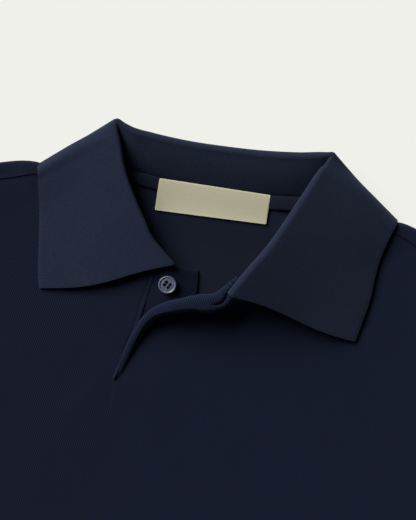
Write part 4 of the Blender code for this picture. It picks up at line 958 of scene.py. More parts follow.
def stitch_row(line, tree, sizes, drop=0.0):
    """Places, directions and normals of the stitches along a line in plan, laid on the cloth from above."""
    run = lengths(line)
    pitch = sizes.stitch_length + sizes.stitch_gap
    at = np.arange(pitch / 2, run[-1], pitch)
    rows = []
    for points in zip(*(along_line(at + d, run, line) for d in (-STITCH_SPREAD, 0, STITCH_SPREAD))):
        hits = [tree.ray_cast(Vector((*point, ABOVE_ALL)) + SHIFT, DOWN)[:2] for point in points]
        (before, _), (place, up), (after, _) = hits
        if before is None or place is None or after is None:
            continue
        along = (after - before).normalized()
        if abs(along.z) <= STEEPEST_STITCH:
            rows.append((place - up * drop, along, up))
    return rows


def sew(name, rows, sizes, material):
    """One mesh of many stitches: a plump little bar of thread, copied to every place."""
    deselect_all()
    bpy.ops.mesh.primitive_uv_sphere_add(segments=6, ring_count=4, radius=0.5)
    bar = bpy.context.object
    with edit_mode():
        bpy.ops.mesh.select_all(action="SELECT")
        bpy.ops.transform.rotate(value=math.pi / 2, orient_axis="Y", center_override=(0, 0, 0))
        bpy.ops.transform.resize(value=(sizes.stitch_length, sizes.stitch_width, sizes.stitch_width))
    shape = np.array([v.co for v in bar.data.vertices])
    sides = [tuple(p.vertices) for p in bar.data.polygons]
    bpy.data.objects.remove(bar)
    points, faces = [], []
    for place, along, up in rows:
        side = up.cross(along).normalized()
        up = along.cross(side).normalized()
        axes = np.array([along, side, up])
        faces += [tuple(len(points) + i for i in s) for s in sides]
        points += list(shape @ axes + np.array(place))
    mesh = bpy.data.meshes.new(name)
    mesh.from_pydata(points, [], faces)
    mesh.shade_smooth()
    made = bpy.data.objects.new(name, mesh)
    bpy.context.scene.collection.objects.link(made)
    dress(made, material)


# ---------------------------------------------------------------- finishes
CELL_STEEPNESS = 2.4
# How clear the knit's cells, painted shade of its relief, are: from where to where, and from how much to how
# much.
CELLS_ACROSS = (-0.10, 0.0, 1.0, 0.5)
# On the roll the cells are painted clearer: painted shade where the light grazes it.
CELLS_ON_ROLL = (6.8 * MM, 11.0 * MM, 0.0, 1.8)
BODY_FUZZ, COLLAR_FUZZ = 2600.0, 2200.0  # hairs a metre
COURSE_PITCH, COURSE_STRENGTH = 0.8, 0.35  # the collar's rows of stitches, as shares of its ribs
# Painted light on the collar's stand: its share of extra lightness.
STAND_PAINTED_LIGHT = 0.2
WARP_PITCH, WEFT_PITCH, WEFT_STRENGTH = 0.42 * MM, 0.5 * MM, 0.4
LABEL_BAND, LABEL_BAND_LIGHTER = 1.1 * MM, 0.14


class Finish:
    """Builds one material's nodes."""

    def __init__(self, name):
        self.material = bpy.data.materials.new(name)
        self.material.use_nodes = True
        self.tree = self.material.node_tree
        self.shader = self.tree.nodes["Principled BSDF"]

    def add(self, kind, **settings):
        node = self.tree.nodes.new(kind)
        for key, value in settings.items():
            setattr(node, key, value)
        return node

    def feed(self, socket, value):
        """Sets a socket, or links it where the value is another socket."""
        if isinstance(value, bpy.types.NodeSocket):
            self.tree.links.new(value, socket)
        else:
            socket.default_value = value

    def math(self, operation, first, second=0.0, third=0.0):
        node = self.add("ShaderNodeMath", operation=operation)
        for socket, value in zip(node.inputs, (first, second, third)):
            self.feed(socket, value)
        return node.outputs[0]

    def noise(self, vector, scale, detail=2.0, roughness=0.5):
        node = self.add("ShaderNodeTexNoise")
        self.feed(node.inputs["Vector"], vector)
        self.feed(node.inputs["Scale"], scale)
        self.feed(node.inputs["Detail"], detail)
        self.feed(node.inputs["Roughness"], roughness)
        return node.outputs["Fac"]

    def total(self, first, *others):
        for value in others:
            first = self.math("ADD", first, value)
        return first

    def product(self, first, second):
        return self.math("MULTIPLY", first, second)

    def ramp(self, value, start, end, low, high):
        """Goes softly from low to high while the value goes from start to end."""
        node = self.add("ShaderNodeMapRange", interpolation_type="SMOOTHSTEP")
        for socket, number in zip(node.inputs, (value, start, end, low, high)):
            self.feed(socket, number)
        return node.outputs[0]

    def bump(self, height, distance, strength, normal=None):
        node = self.add("ShaderNodeBump")
        self.feed(node.inputs["Height"], height)
        self.feed(node.inputs["Distance"], distance)
        self.feed(node.inputs["Strength"], strength)
        if normal is not None:
            self.feed(node.inputs["Normal"], normal)
        return node.outputs["Normal"]

    def object_place(self):
        return self.add("ShaderNodeTexCoord").outputs["Object"]

    def split(self, vector):
        """The X, Y and Z of a vector."""
        node = self.add("ShaderNodeSeparateXYZ")
        self.feed(node.inputs[0], vector)
        return node.outputs

    def cloth_place(self, turn=0.0):
        """The place on the cloth, across and along, from the piece's own UV map in metres."""
        turned = self.add("ShaderNodeVectorRotate", rotation_type="Z_AXIS")
        self.feed(turned.inputs["Vector"], self.add("ShaderNodeUVMap", uv_map="UVMap").outputs["UV"])
        self.feed(turned.inputs["Angle"], turn)
        return self.split(turned.outputs[0])[:2]

    def wave(self, along, pitch):
        return self.math("COSINE", self.product(along, 2 * math.pi / pitch))

    def scaled(self, value, low, high):
        """A value from 0 to 1, stretched to run from low to high."""
        return self.math("MULTIPLY_ADD", value, high - low, low)

    def speckle(self, place, scale, strength, detail=2.0):
        """Soft grains of about 1 / scale metre, from strength darker to strength lighter."""
        return self.scaled(self.noise(place, scale, detail), -strength, strength)

    def colour(self, colour, tone):
        """Gives the surface its colour, made lighter or darker by a socket's value."""
        node = self.add("ShaderNodeVectorMath", operation="SCALE")
        self.feed(node.inputs[0], tuple(colour))
        self.feed(node.inputs["Scale"], tone)
        self.feed(self.shader.inputs["Base Color"], node.outputs[0])

    def finished(self, values, normal=None):
        """Gives the shader its own values and its relief, and hands the material over."""
        for name, value in values.items():
            self.shader.inputs[name].default_value = value
        if normal is not None:
            self.feed(self.shader.inputs["Normal"], normal)
        return self.material


def body_knit(name, colour, sizes):
    """Pique knit: rows of staggered cells on a dry, uneven surface.

    The cells' light and dark are painted shade of the knit's relief; they are fainter towards the wearer's
    left, and painted stronger on the turned-back edge, where the light grazes it.
    """
    finish = Finish(name)
    across, along = finish.cloth_place(sizes.knit_turn)
    place = finish.object_place()
    # The cells' tone is painted shade of the knit's relief, painted clearer on the roll.
    cells = finish.product(finish.wave(across, sizes.knit_pitch), finish.wave(along, sizes.knit_rise))
    cells = finish.math("MAXIMUM", finish.math("MINIMUM", finish.product(cells, CELL_STEEPNESS), 1.0), -1.0)
    x, _, z = finish.split(place)
    clear = finish.total(finish.ramp(x, *CELLS_ACROSS), finish.ramp(z, *CELLS_ON_ROLL))
    cells = finish.product(cells, clear)
    fuzz = finish.noise(place, BODY_FUZZ, detail=3.0)
    tone = finish.total(
        finish.scaled(cells, 1.0, 1.9),
        finish.scaled(fuzz, -0.16, 0.16),
        finish.speckle(place, 45.0, 0.07),
        finish.speckle(place, 520.0, 0.16),
    )
    finish.colour(colour, tone)
    relief = finish.bump(finish.scaled(cells, 0.5, 1.0), distance=0.07 * MM, strength=0.5)
    relief = finish.bump(fuzz, distance=0.12 * MM, strength=0.5, normal=relief)
    surface = {
        "Roughness": 0.92,
        "Specular IOR Level": 0.10,
        "Sheen Weight": 0.10,
        "Sheen Roughness": 0.6,
        "Sheen Tint": (0.45, 0.6, 1.0, 1),
    }
    return finish.finished(surface, relief)


def collar_knit(name, colour, sizes):
    """Flat-knitted rib: fine ribs from the seam to the free edge, closer and smoother than the body."""
    finish = Finish(name)
    around, across = finish.cloth_place()
    place = finish.object_place()
    courses = finish.wave(across, COURSE_PITCH * sizes.rib_pitch)
    cells = finish.math("MULTIPLY_ADD", courses, COURSE_STRENGTH, finish.wave(around, sizes.rib_pitch))
    fuzz = finish.noise(place, COLLAR_FUZZ, detail=3.0)
    tone = finish.total(
        finish.scaled(cells, 0.90, 1.05),
        finish.scaled(fuzz, -0.14, 0.14),
        finish.speckle(place, 60.0, 0.10, detail=3.0),
        finish.speckle(place, 620.0, 0.26),
    )
    # Painted light: the stand at the back is made lighter, where it faces away from the key light.
    at_back = finish.math("LESS_THAN", finish.math("ABSOLUTE", around), STAND_HALF_WIDTH)
    stand = finish.product(at_back, finish.math("LESS_THAN", across, STAND_DEPTH))
    finish.colour(colour, finish.product(tone, finish.math("MULTIPLY_ADD", stand, STAND_PAINTED_LIGHT, 1.0)))
    relief = finish.bump(cells, distance=0.035 * MM, strength=0.6)
    relief = finish.bump(fuzz, distance=0.10 * MM, strength=0.5, normal=relief)
    surface = {
        "Roughness": 0.9,
        "Specular IOR Level": 0.12,
        "Sheen Weight": 0.07,
        "Sheen Roughness": 0.6,
        "Sheen Tint": (0.5, 0.65, 1.0, 1),
    }
    return finish.finished(surface, relief)


def label_satin(name, colour):
    """Woven satin: a fine warp sheen, with a lighter band along the two long edges."""
    finish = Finish(name)
    across, along = finish.cloth_place()
    place = finish.object_place()
    weft, warp = finish.wave(along, WEFT_PITCH), finish.wave(across, WARP_PITCH)
    weave = finish.math("MULTIPLY_ADD", weft, WEFT_STRENGTH, warp)
    from_middle = finish.math("ABSOLUTE", finish.math("SUBTRACT", along, LABEL_SIZE[1] / 2))
    edge = finish.math("GREATER_THAN", from_middle, LABEL_SIZE[1] / 2 - LABEL_BAND)
    tone = finish.total(finish.scaled(weave, 0.97, 1.0), finish.speckle(place, 900.0, 0.08))
    finish.colour(colour, finish.math("MULTIPLY_ADD", edge, LABEL_BAND_LIGHTER, tone))
    relief = finish.bump(weave, distance=0.04 * MM, strength=0.5)
    return finish.finished({"Roughness": 0.45, "Specular IOR Level": 0.35, "Sheen Weight": 0.2}, relief)


def button_shell(name, colour):
    """Pearly grey-blue resin: cloudy bands under a polished surface."""
    finish = Finish(name)
    place = finish.object_place()
    clouds = finish.scaled(finish.noise(place, 260.0, detail=3.0, roughness=0.6), 0.6, 1.2)
    bands = finish.add("ShaderNodeTexWave", wave_type="BANDS")
    for socket, value in (("Vector", place), ("Scale", 150.0), ("Distortion", 7.0)):
        finish.feed(bands.inputs[socket], value)
    finish.colour(colour, finish.total(clouds, finish.scaled(bands.outputs["Fac"], -0.15, 0.25)))
    surface = {"Roughness": 0.3, "Specular IOR Level": 0.6, "Coat Weight": 0.4, "Coat Roughness": 0.25}
    return finish.finished(surface)


def sewing_thread(name, colour):
    """Twisted thread."""
    finish = Finish(name)
    finish.colour(colour, finish.scaled(finish.noise(finish.object_place(), 3000.0), 0.7, 1.3))
    return finish.finished({"Roughness": 0.7, "Specular IOR Level": 0.2})


def studio_floor(name, colour, glow):
    finish = Finish(name)
    finish.colour(colour, finish.scaled(finish.noise(finish.object_place(), 3.0), 0.995, 1.005))
    surface = {
        "Roughness": 1.0,
        "Specular IOR Level": 0.0,
        "Emission Color": (*glow, 1),
        "Emission Strength": 1.0,
    }
    return finish.finished(surface)


def finish_named(name, build, *values):
    """The material of that name, made once."""
    return bpy.data.materials.get(name) or build(name, *values)


# ---------------------------------------------------------------- properties
class PoloSizes(bpy.types.PropertyGroup):
    """Sizes that a maker would change"""

    cloth_wall: bpy.props.FloatProperty(
        name="Body cloth", description="Thickness of the body knit", default=1.2 * MM, unit="LENGTH"
    )
    collar_wall: bpy.props.FloatProperty(
        name="Collar cloth", description="Thickness of the knitted collar", default=1.5 * MM, unit="LENGTH"
    )
    placket_wall: bpy.props.FloatProperty(
        name="Placket", description="Thickness of the doubled under placket", default=1.3 * MM, unit="LENGTH"
    )
    edge_round: bpy.props.FloatProperty(
        name="Edge rounding", description="Rounding of the cut edges", default=0.42 * MM, unit="LENGTH"
    )
    crease_depth: bpy.props.FloatProperty(
        name="Crease depth", description="Share of the fine creases' height", default=1.0, subtype="FACTOR"
    )
    roll_drop: bpy.props.FloatProperty(
        name="Roll side", description="Width of the roll's steep side", default=2.4 * MM, unit="LENGTH"
    )
    crease_cut: bpy.props.FloatProperty(
        name="Roll crease", description="Depth of the roll's crease", default=2.4 * MM, unit="LENGTH"
    )
    hem_depth: bpy.props.FloatProperty(
        name="Hem depth", description="Depth of the turned hem and cuffs", default=20 * MM, unit="LENGTH"
    )
    hem_step: bpy.props.FloatProperty(
        name="Hem step", description="Rise of the cloth over the turned hem", default=0.4 * MM, unit="LENGTH"
    )
    knit_pitch: bpy.props.FloatProperty(
        name="Knit pitch", description="Width of one cell of the body knit", default=1.44 * MM, unit="LENGTH"
    )
    knit_rise: bpy.props.FloatProperty(
        name="Knit rise", description="Height of one cell of the body knit", default=3.66 * MM, unit="LENGTH"
    )
    knit_turn: bpy.props.FloatProperty(
        name="Knit turn", description="Slant of the knit's rows", default=math.radians(-8.75), subtype="ANGLE"
    )
    rib_pitch: bpy.props.FloatProperty(
        name="Rib pitch", description="Width of one rib of the collar", default=1.1 * MM, unit="LENGTH"
    )
    stitch_length: bpy.props.FloatProperty(
        name="Stitch length", description="Length of one stitch", default=2.3 * MM, unit="LENGTH"
    )
    stitch_gap: bpy.props.FloatProperty(
        name="Stitch gap", description="Gap between two stitches", default=0.6 * MM, unit="LENGTH"
    )
    stitch_width: bpy.props.FloatProperty(
        name="Stitch width", description="Thickness of the sewing thread", default=0.38 * MM, unit="LENGTH"
    )
    tape_width_right: bpy.props.FloatProperty(
        name="Tape, right end", description="Width at the wearer's right", default=7.1 * MM, unit="LENGTH"
    )
    tape_width_left: bpy.props.FloatProperty(
        name="Tape, left end", description="Width at the wearer's left", default=9.0 * MM, unit="LENGTH"
    )
    tape_plump: bpy.props.FloatProperty(
        name="Tape swell", description="Rise of the tape along its middle", default=1.7 * MM, unit="LENGTH"
    )
    tape_wall: bpy.props.FloatProperty(
        name="Tape cloth", description="Thickness of the neck tape", default=1.0 * MM, unit="LENGTH"
    )
    label_wall: bpy.props.FloatProperty(
        name="Label cloth", description="Thickness of the folded label", default=0.65 * MM, unit="LENGTH"
    )
    button_diameter: bpy.props.FloatProperty(
        name="Button", description="Diameter of the button", default=11.4 * MM, unit="LENGTH"
    )
    button_thickness: bpy.props.FloatProperty(
        name="Button thickness", description="Thickness of the button", default=2.6 * MM, unit="LENGTH"
    )
    button_shank: bpy.props.FloatProperty(
        name="Shank", description="Thread between the button and the placket", default=0.8 * MM, unit="LENGTH"
    )


class PoloColours(bpy.types.PropertyGroup):
    """Colours of the cloths, the button, the thread and the floor"""

    body: bpy.props.FloatVectorProperty(
        name="Body", description="Colour of the body knit", subtype="COLOR", default=(0.0030, 0.0056, 0.0164)
    )
    inside: bpy.props.FloatVectorProperty(
        name="Inside", description="Colour inside the back", subtype="COLOR", default=(0.0040, 0.0061, 0.0140)
    )
    # The placket's colour is the body knit made darker: painted shade, for the shadow of the left leaf and
    # the roll over it.
    placket: bpy.props.FloatVectorProperty(
        name="Placket", description="Colour of the placket", subtype="COLOR", default=(0.0020, 0.0043, 0.0138)
    )
    tape: bpy.props.FloatVectorProperty(
        name="Tape", description="Colour of the neck tape", subtype="COLOR", default=(0.0036, 0.0055, 0.0125)
    )
    collar: bpy.props.FloatVectorProperty(
        name="Collar", description="Colour of the collar", subtype="COLOR", default=(0.0118, 0.0173, 0.0368)
    )
    label: bpy.props.FloatVectorProperty(
        name="Label", description="Colour of the label's satin", subtype="COLOR", default=(0.46, 0.43, 0.31)
    )
    button: bpy.props.FloatVectorProperty(
        name="Button", description="Colour of the button", subtype="COLOR", default=(0.115, 0.133, 0.19)
    )
    thread: bpy.props.FloatVectorProperty(
        name="Thread", description="Colour of the thread", subtype="COLOR", default=(0.0085, 0.0125, 0.026)
    )
    floor: bpy.props.FloatVectorProperty(
        name="Floor", description="Colour of the studio floor", subtype="COLOR", default=(0.16, 0.16, 0.155)
    )
    glow: bpy.props.FloatVectorProperty(
        name="Floor glow", description="Light from the floor", subtype="COLOR", default=(0.711, 0.7165, 0.673)
    )


class PoloStudio(bpy.types.PropertyGroup):
    """Camera and lights"""

    lens: bpy.props.FloatProperty(
        name="Lens", description="Focal length in millimetres", default=85.0, subtype="DISTANCE_CAMERA"
    )
    view_height: bpy.props.FloatProperty(
        name="View height", description="Height of the view", default=327.6 * MM, unit="LENGTH"
    )
    aim: bpy.props.FloatVectorProperty(
        name="Aim", description="Centre of the view, in the cutter's axes", default=(-0.0003, -0.0788, 0.006)
    )
    roll: bpy.props.FloatProperty(
        name="Roll", description="Turn of the shirt in the view", default=math.radians(8.75), subtype="ANGLE"
    )
    key_from: bpy.props.FloatProperty(
        name="Key side", description="Its direction from +X", default=math.radians(143.75), subtype="ANGLE"
    )
    key_height: bpy.props.FloatProperty(
        name="Key height", description="Its height over the floor", default=math.radians(35), subtype="ANGLE"
    )
    key_softness: bpy.props.FloatProperty(
        name="Key softness", description="Angle that it fills", default=math.radians(42), subtype="ANGLE"
    )
    key_power: bpy.props.FloatProperty(name="Key power", description="Strength of the key light", default=5.1)
    fill_power: bpy.props.FloatProperty(name="Fill power", description="Light from all round", default=0.06)


KEY_COLOUR, FILL_COLOUR = (1.0, 0.992, 0.975), (0.95, 0.98, 1.0, 1)
FLOOR_SIZE, FLOOR_GAP = 60.0, 0.15 * MM


# ---------------------------------------------------------------- operators
def settings():
    scene = bpy.context.scene
    return scene.polo_sizes, scene.polo_colours


def knit_finish(colour, name="body pique knit"):
    """The body knit, in the colour of one of the shirt's parts."""
    sizes, _ = settings()
    return finish_named(name, body_knit, colour, sizes)


class POLO_OT_back(bpy.types.Operator):
    """Back panel, wrapped over both shoulders to the forward seams"""

    bl_idname = "polo.back"
    bl_label = "Back panel"

    def execute(self, context):
        sizes, colours = settings()
        panel = back_grid(sizes.cloth_wall)
        uv = cloth_lengths(panel)
        parts = [laid_grid("back_panel", panel, uv)]
        for way in (-1, 1):
            wraps = np.array([shoulder_wrap(x, sizes.cloth_wall) for x in SHOULDER_X * way][::way])
            wraps = wraps.transpose(1, 0, 2)
            edge_run = uv[-1, :len(SHOULDER_X), 1] if way < 0 else uv[-1, -len(SHOULDER_X):, 1]
            wrap_uv = cloth_lengths(wraps)
            wrap_uv[:, :, 1] += edge_run[None, :]
            parts.append(laid_grid("back_shoulder", wraps, wrap_uv))
        made = joined("polo_back", parts)
        make_wall(made, sizes.cloth_wall, sizes.edge_round)
        dress(made, knit_finish(colours.body), "back")
        made.data.materials.append(knit_finish(colours.inside, "body knit inside"))
        self.show_inside(made, sizes)
        return {"FINISHED"}

    def show_inside(self, made, sizes):
        """Gives the panel's upper face the inner side's finish, up to where it wraps over the shoulders."""
        for polygon in made.data.polygons:
            place = polygon.center - SHIFT
            low = back_height(place.x, place.y, sizes.cloth_wall)
            polygon.material_index = int(polygon.normal.z > 0.1 and place.z < low + INSIDE_HEIGHT)


class POLO_OT_front(bpy.types.Operator):
    """Front panel, slit for the placket, with one edge rolled back"""

    bl_idname = "polo.front"
    bl_label = "Front panel"

    def execute(self, context):
        sizes, colours = settings()
        button_half = front_button_grid(sizes)
        other_half, lip = front_buttonhole_grids(sizes)
        other_uv = cloth_lengths(other_half)
        lip_uv = cloth_lengths(lip)
        lip_uv[:, :, 1] += other_uv[-1, 1:lip.shape[1] + 1, 1][None, :]
        parts = [
            laid_grid("front_button_half", button_half, cloth_lengths(button_half)),
            laid_grid("front_other_half", other_half, other_uv),
            laid_grid("front_lip", lip, lip_uv),
        ]
        made = joined("polo_front", parts)
        make_wall(made, sizes.cloth_wall, sizes.edge_round)
        dress(made, knit_finish(colours.body), "front")
        return {"FINISHED"}


class POLO_OT_sleeves(bpy.types.Operator):
    """Two set-in sleeves, flattened tubes open at the cuff"""

    bl_idname = "polo.sleeves"
    bl_label = "Sleeves"

    def execute(self, context):
        sizes, colours = settings()
        for side, word in ((-1, "right"), (1, "left")):
            rings = sleeve_grid(side, sizes)
            around = np.array([lengths(ring) for ring in rings])
            along = cloth_lengths(rings)[:, :, 1]
            made = joined(f"polo_sleeve_{word}", [laid_grid("sleeve", rings, np.dstack([around, along]))])
            make_wall(made, sizes.cloth_wall, sizes.edge_round)
            dress(made, knit_finish(colours.body), f"sleeve_wearers_{word}")
        return {"FINISHED"}


class POLO_OT_collar(bpy.types.Operator):
    """One-piece flat-knitted collar: stand, fold and two spread leaves"""

    bl_idname = "polo.collar"
    bl_label = "Collar"

    def execute(self, context):
        sizes, colours = settings()
        places = collar_places()
        rows = np.array([collar_section(at, sizes.collar_wall) for at in places])
        across = np.array([lengths(row) for row in rows])
        around = np.repeat(places[:, None] * MM, rows.shape[1], axis=1)
        made = joined("polo_collar", [laid_grid("collar", rows, np.dstack([around, across]))])
        make_wall(made, sizes.collar_wall, COLLAR_EDGE_ROUND)
        material = finish_named("collar flat knit", collar_knit, colours.collar, sizes)
        dress(made, material, "collar")
        return {"FINISHED"}


class POLO_OT_under_placket(bpy.types.Operator):
    """Doubled strip under the front edge that carries the button"""

    bl_idname = "polo.under_placket"
    bl_label = "Under placket"

    def execute(self, context):
        sizes, colours = settings()
        below_rim = np.linspace(PLACKET_TOP_Y - PLACKET_FOOT_Y, PLACKET_RIM_ROWS * MM, PLACKET_ROWS)
        at_rim = np.linspace(PLACKET_RIM_ROWS, 0, PLACKET_RIM_STEPS + 1)[1:] * MM
        rows = [self.row(PLACKET_TOP_Y - down) for down in (*below_rim, *at_rim)]
        rows = np.array(rows)
        made = joined("polo_under_placket", [laid_grid("placket", rows, cloth_lengths(rows))])
        make_wall(made, sizes.placket_wall, PLACKET_EDGE_ROUND)
        # The placket's darker colour is painted shade.
        dress(made, knit_finish(colours.placket, "placket knit"), "under_placket")
        return {"FINISHED"}

    def row(self, y):
        """The strip's points from under the front's edge to its free edge."""
        left, right = edge_x(BUTTON_SIDE_EDGE, y)[0], edge_x(PLACKET_FREE_EDGE, y)[0]
        knots = (left - PLACKET_TUCK, left, left + PLACKET_STEP_WIDTH, right)
        x = [np.linspace(*ends, endpoint=False) for ends in zip(knots, knots[1:], PLACKET_COLUMNS)]
        x = np.concatenate([*x, [right]])
        slope = PLACKET_TOP_SLOPE * ease((y - PLACKET_CLIMB[0]) / (PLACKET_TOP_Y - PLACKET_CLIMB[0]))
        level = y + slope * (right - x)
        depth, reach = PLACKET_RIM
        rim = depth * np.clip(1 - (PLACKET_TOP_Y - y) / reach, 0, 1) ** 2
        return np.column_stack([x, level, placket_height(x, level) - rim])


class POLO_OT_neck_tape(bpy.types.Operator):
    """Tape sewn over the back neck seam"""

    bl_idname = "polo.neck_tape"
    bl_label = "Neck tape"

    def execute(self, context):
        sizes, colours = settings()
        x = np.linspace(-TAPE_HALF_LENGTH, TAPE_HALF_LENGTH, TAPE_COLUMNS)
        lost, margin, sharpness = TAPE_PRESSED
        under_label = fade(x - LABEL_CENTRE.x, LABEL_SIZE[0] / 2 + margin, sharpness)
        rows = []
        for share in np.linspace(1, 0, TAPE_ROWS):
            y = tape_y(x, share, sizes)
            base = back_height(x, y, sizes.cloth_wall) + (sizes.cloth_wall + sizes.tape_wall) / 2 + LAYER_GAP
            across = math.sqrt(1 - abs(2 * share - 1) ** TAPE_ROUND)
            plump = sizes.tape_plump * (1 - lost * under_label) * across
            rows.append(np.column_stack([x, y, base + plump]))
        rows = np.array(rows)
        made = joined("polo_neck_tape", [laid_grid("tape", rows, cloth_lengths(rows))])
        make_wall(made, sizes.tape_wall, TAPE_EDGE_ROUND)
        dress(made, knit_finish(colours.tape, "tape knit"), "neck_tape")
        return {"FINISHED"}


class POLO_OT_label(bpy.types.Operator):
    """Blank satin label inside the back neck"""

    bl_idname = "polo.label"
    bl_label = "Label"

    def execute(self, context):
        sizes, colours = settings()
        width, height = LABEL_SIZE
        across, down = np.meshgrid(np.linspace(0, 1, LABEL_COLUMNS), np.linspace(1, 0, LABEL_ROWS))
        x = LABEL_CENTRE.x + (across - 0.5) * width
        y = LABEL_CENTRE.y + height / 2 - down * (height - LABEL_SLANT * across)
        places = np.dstack([x, y, self.height(across, down)])
        made = laid_grid("polo_label", places, np.dstack([across * width, (1 - down) * height]))
        apply_modifier(made, "SOLIDIFY", thickness=sizes.label_wall, offset=0)
        self.round_corners(made, places[[0, 0, -1, -1], [0, -1, 0, -1], :2] + np.array(SHIFT)[:2])
        round_edges(made, LABEL_EDGE_ROUND, segments=2, sharp=60)
        smooth_sides(made, sharp=50)
        dress(made, finish_named("label satin", label_satin, colours.label), "label")
        return {"FINISHED"}

    def height(self, across, down):
        """Falls off to the lower edge, with a bow along it and a fine ripple."""
        (bow, bow_turns, bow_start), (ripple, across_turns, down_turns) = LABEL_WAVES
        waves = bow * np.sin(across * bow_turns - bow_start) * down
        waves = waves + ripple * np.cos(across * across_turns - down * down_turns)
        return LABEL_CENTRE.z + LABEL_FALL / 2 - LABEL_FALL * ease(down * LABEL_FALL_SPEED) + waves

    def round_corners(self, made, corners):
        """Rounds the upright edges at the label's four corners."""
        select_nothing(made)
        for edge in made.data.edges:
            ends = np.array([made.data.vertices[i].co[:2] for i in edge.vertices])
            edge.select = any(np.abs(ends - corner).max() < CORNER_REACH for corner in corners)
        with edit_mode():
            bpy.ops.mesh.select_mode(type="EDGE")
            bpy.ops.mesh.bevel(offset=LABEL_CORNER, segments=4, affect="EDGES")


class POLO_OT_button(bpy.types.Operator):
    """Four-hole button with its thread"""

    bl_idname = "polo.button"
    bl_label = "Button"

    def execute(self, context):
        sizes, colours = settings()
        radius, thick = sizes.button_diameter / 2, sizes.button_thickness
        button = self.disc(BUTTON_SIDES, radius, thick, (0, 0, thick / 2))
        button.name = button.data.name = "polo_button"
        self.dish(button, radius, thick)
        self.drill(button, thick)
        smooth_sides(button, sharp=38)
        thread = self.tie(thick, sizes.button_shank)
        seat = self.seat(sizes)
        for made in (button, thread):
            made.data.transform(seat)
        dress(button, finish_named("button shell", button_shell, colours.button), "button")
        dark = tuple(DARK_THREAD * part for part in colours.thread)
        dress(thread, finish_named("button thread", sewing_thread, dark))
        return {"FINISHED"}

    def disc(self, sides, radius, depth, centre):
        deselect_all()
        bpy.ops.mesh.primitive_cylinder_add(vertices=sides, radius=radius, depth=depth, location=centre)
        bpy.ops.object.transform_apply(location=True, rotation=True, scale=True)
        return bpy.context.object

    def seat(self, sizes):
        """Where the button is sewn on: over the placket, tilted as the placket slopes there."""
        x, y = BUTTON_CENTRE
        step = BUTTON_SLOPE_STEP
        across, up = np.array([step, -step, 0, 0, 0]), np.array([0, 0, step, -step, 0])
        right, left, upper, lower, middle = placket_height(x + across, y + up)
        place = Vector((x, y, middle + sizes.placket_wall / 2 + sizes.button_shank)) + SHIFT
        back = Matrix.Rotation(math.atan((upper - lower) / (2 * step)), 4, "X")
        aside = Matrix.Rotation(-math.atan((right - left) / (2 * step)), 4, "Y")
        return Matrix.Translation(place) @ back @ aside @ Matrix.Rotation(BUTTON_TURN, 4, "Z")

    def dish(self, button, radius, thick):
        """Cuts the rim, its groove and the sunk middle by insets, and rounds the back."""
        select_nothing(button)
        max(button.data.polygons, key=lambda face: face.center.z).select = True
        with edit_mode():
            bpy.ops.mesh.select_mode(type="FACE")
            for inset, rise in BUTTON_TURNING:
                bpy.ops.mesh.inset(thickness=inset * radius)
                bpy.ops.transform.translate(value=(0, 0, rise * thick))
        for vertex in button.data.vertices:
            out = math.hypot(vertex.co.x, vertex.co.y) / radius
            if vertex.co.z < 0.01 * thick:
                vertex.co.x *= BUTTON_BACK_WIDTH
                vertex.co.y *= BUTTON_BACK_WIDTH
            elif out > 0.999:
                vertex.co.z = thick * BUTTON_RIM_HEIGHT
        round_edges(button, BUTTON_EDGE_ROUND, segments=3, sharp=28)

    def drill(self, button, thick):
        """Cuts the four holes right through."""
        for across, up in self.hole_places():
            cutter = self.disc(HOLE_SIDES, HOLE_RADIUS, 4 * thick, (across, up, thick / 2))
            apply_modifier(button, "BOOLEAN", operation="DIFFERENCE", object=cutter)
            bpy.data.objects.remove(cutter)

    def hole_places(self):
        """The four holes: two pairs, each pair tied with thread."""
        apart, along = HOLE_OFFSETS
        turn = HOLE_TURN - BUTTON_TURN
        way = Vector((math.cos(turn), math.sin(turn)))
        side = Vector((-way.y, way.x))
        return [tuple(side * (s * apart) + way * (w * along)) for s in (-1, 1) for w in (-1, 1)]

    def tie(self, thick, shank):
        """Strands from hole to hole, and the shank under the button."""
        holes = [Vector((*place, 0)) for place in self.hole_places()]
        parts = []
        for a, b in (holes[:2], holes[2:]):
            way = (b - a).normalized()
            side = Vector((-way.y, way.x, 0))
            axes = Matrix((way, side, Vector((0, 0, 1)))).transposed().to_4x4()
            past, sideways, upwards = STRAND_SIZE
            size = Matrix.Diagonal(((b - a).length / 2 + past, sideways, upwards, 1))
            for shift in STRAND_SHIFTS:
                deselect_all()
                bpy.ops.mesh.primitive_uv_sphere_add(segments=10, ring_count=8, radius=1.0)
                middle = (a + b) / 2 + side * (shift * MM)
                middle.z = thick * STRAND_HEIGHT - abs(shift) * STRAND_FALL * MM
                bpy.context.object.data.transform(Matrix.Translation(middle) @ axes @ size)
                parts.append(bpy.context.object)
        parts.append(self.disc(SHANK_SIDES, SHANK_RADIUS, shank + SHANK_SUNK, (0, 0, -SHANK_LOWER)))
        made = as_one("polo_button_thread", parts)
        bpy.ops.object.shade_smooth()
        return made


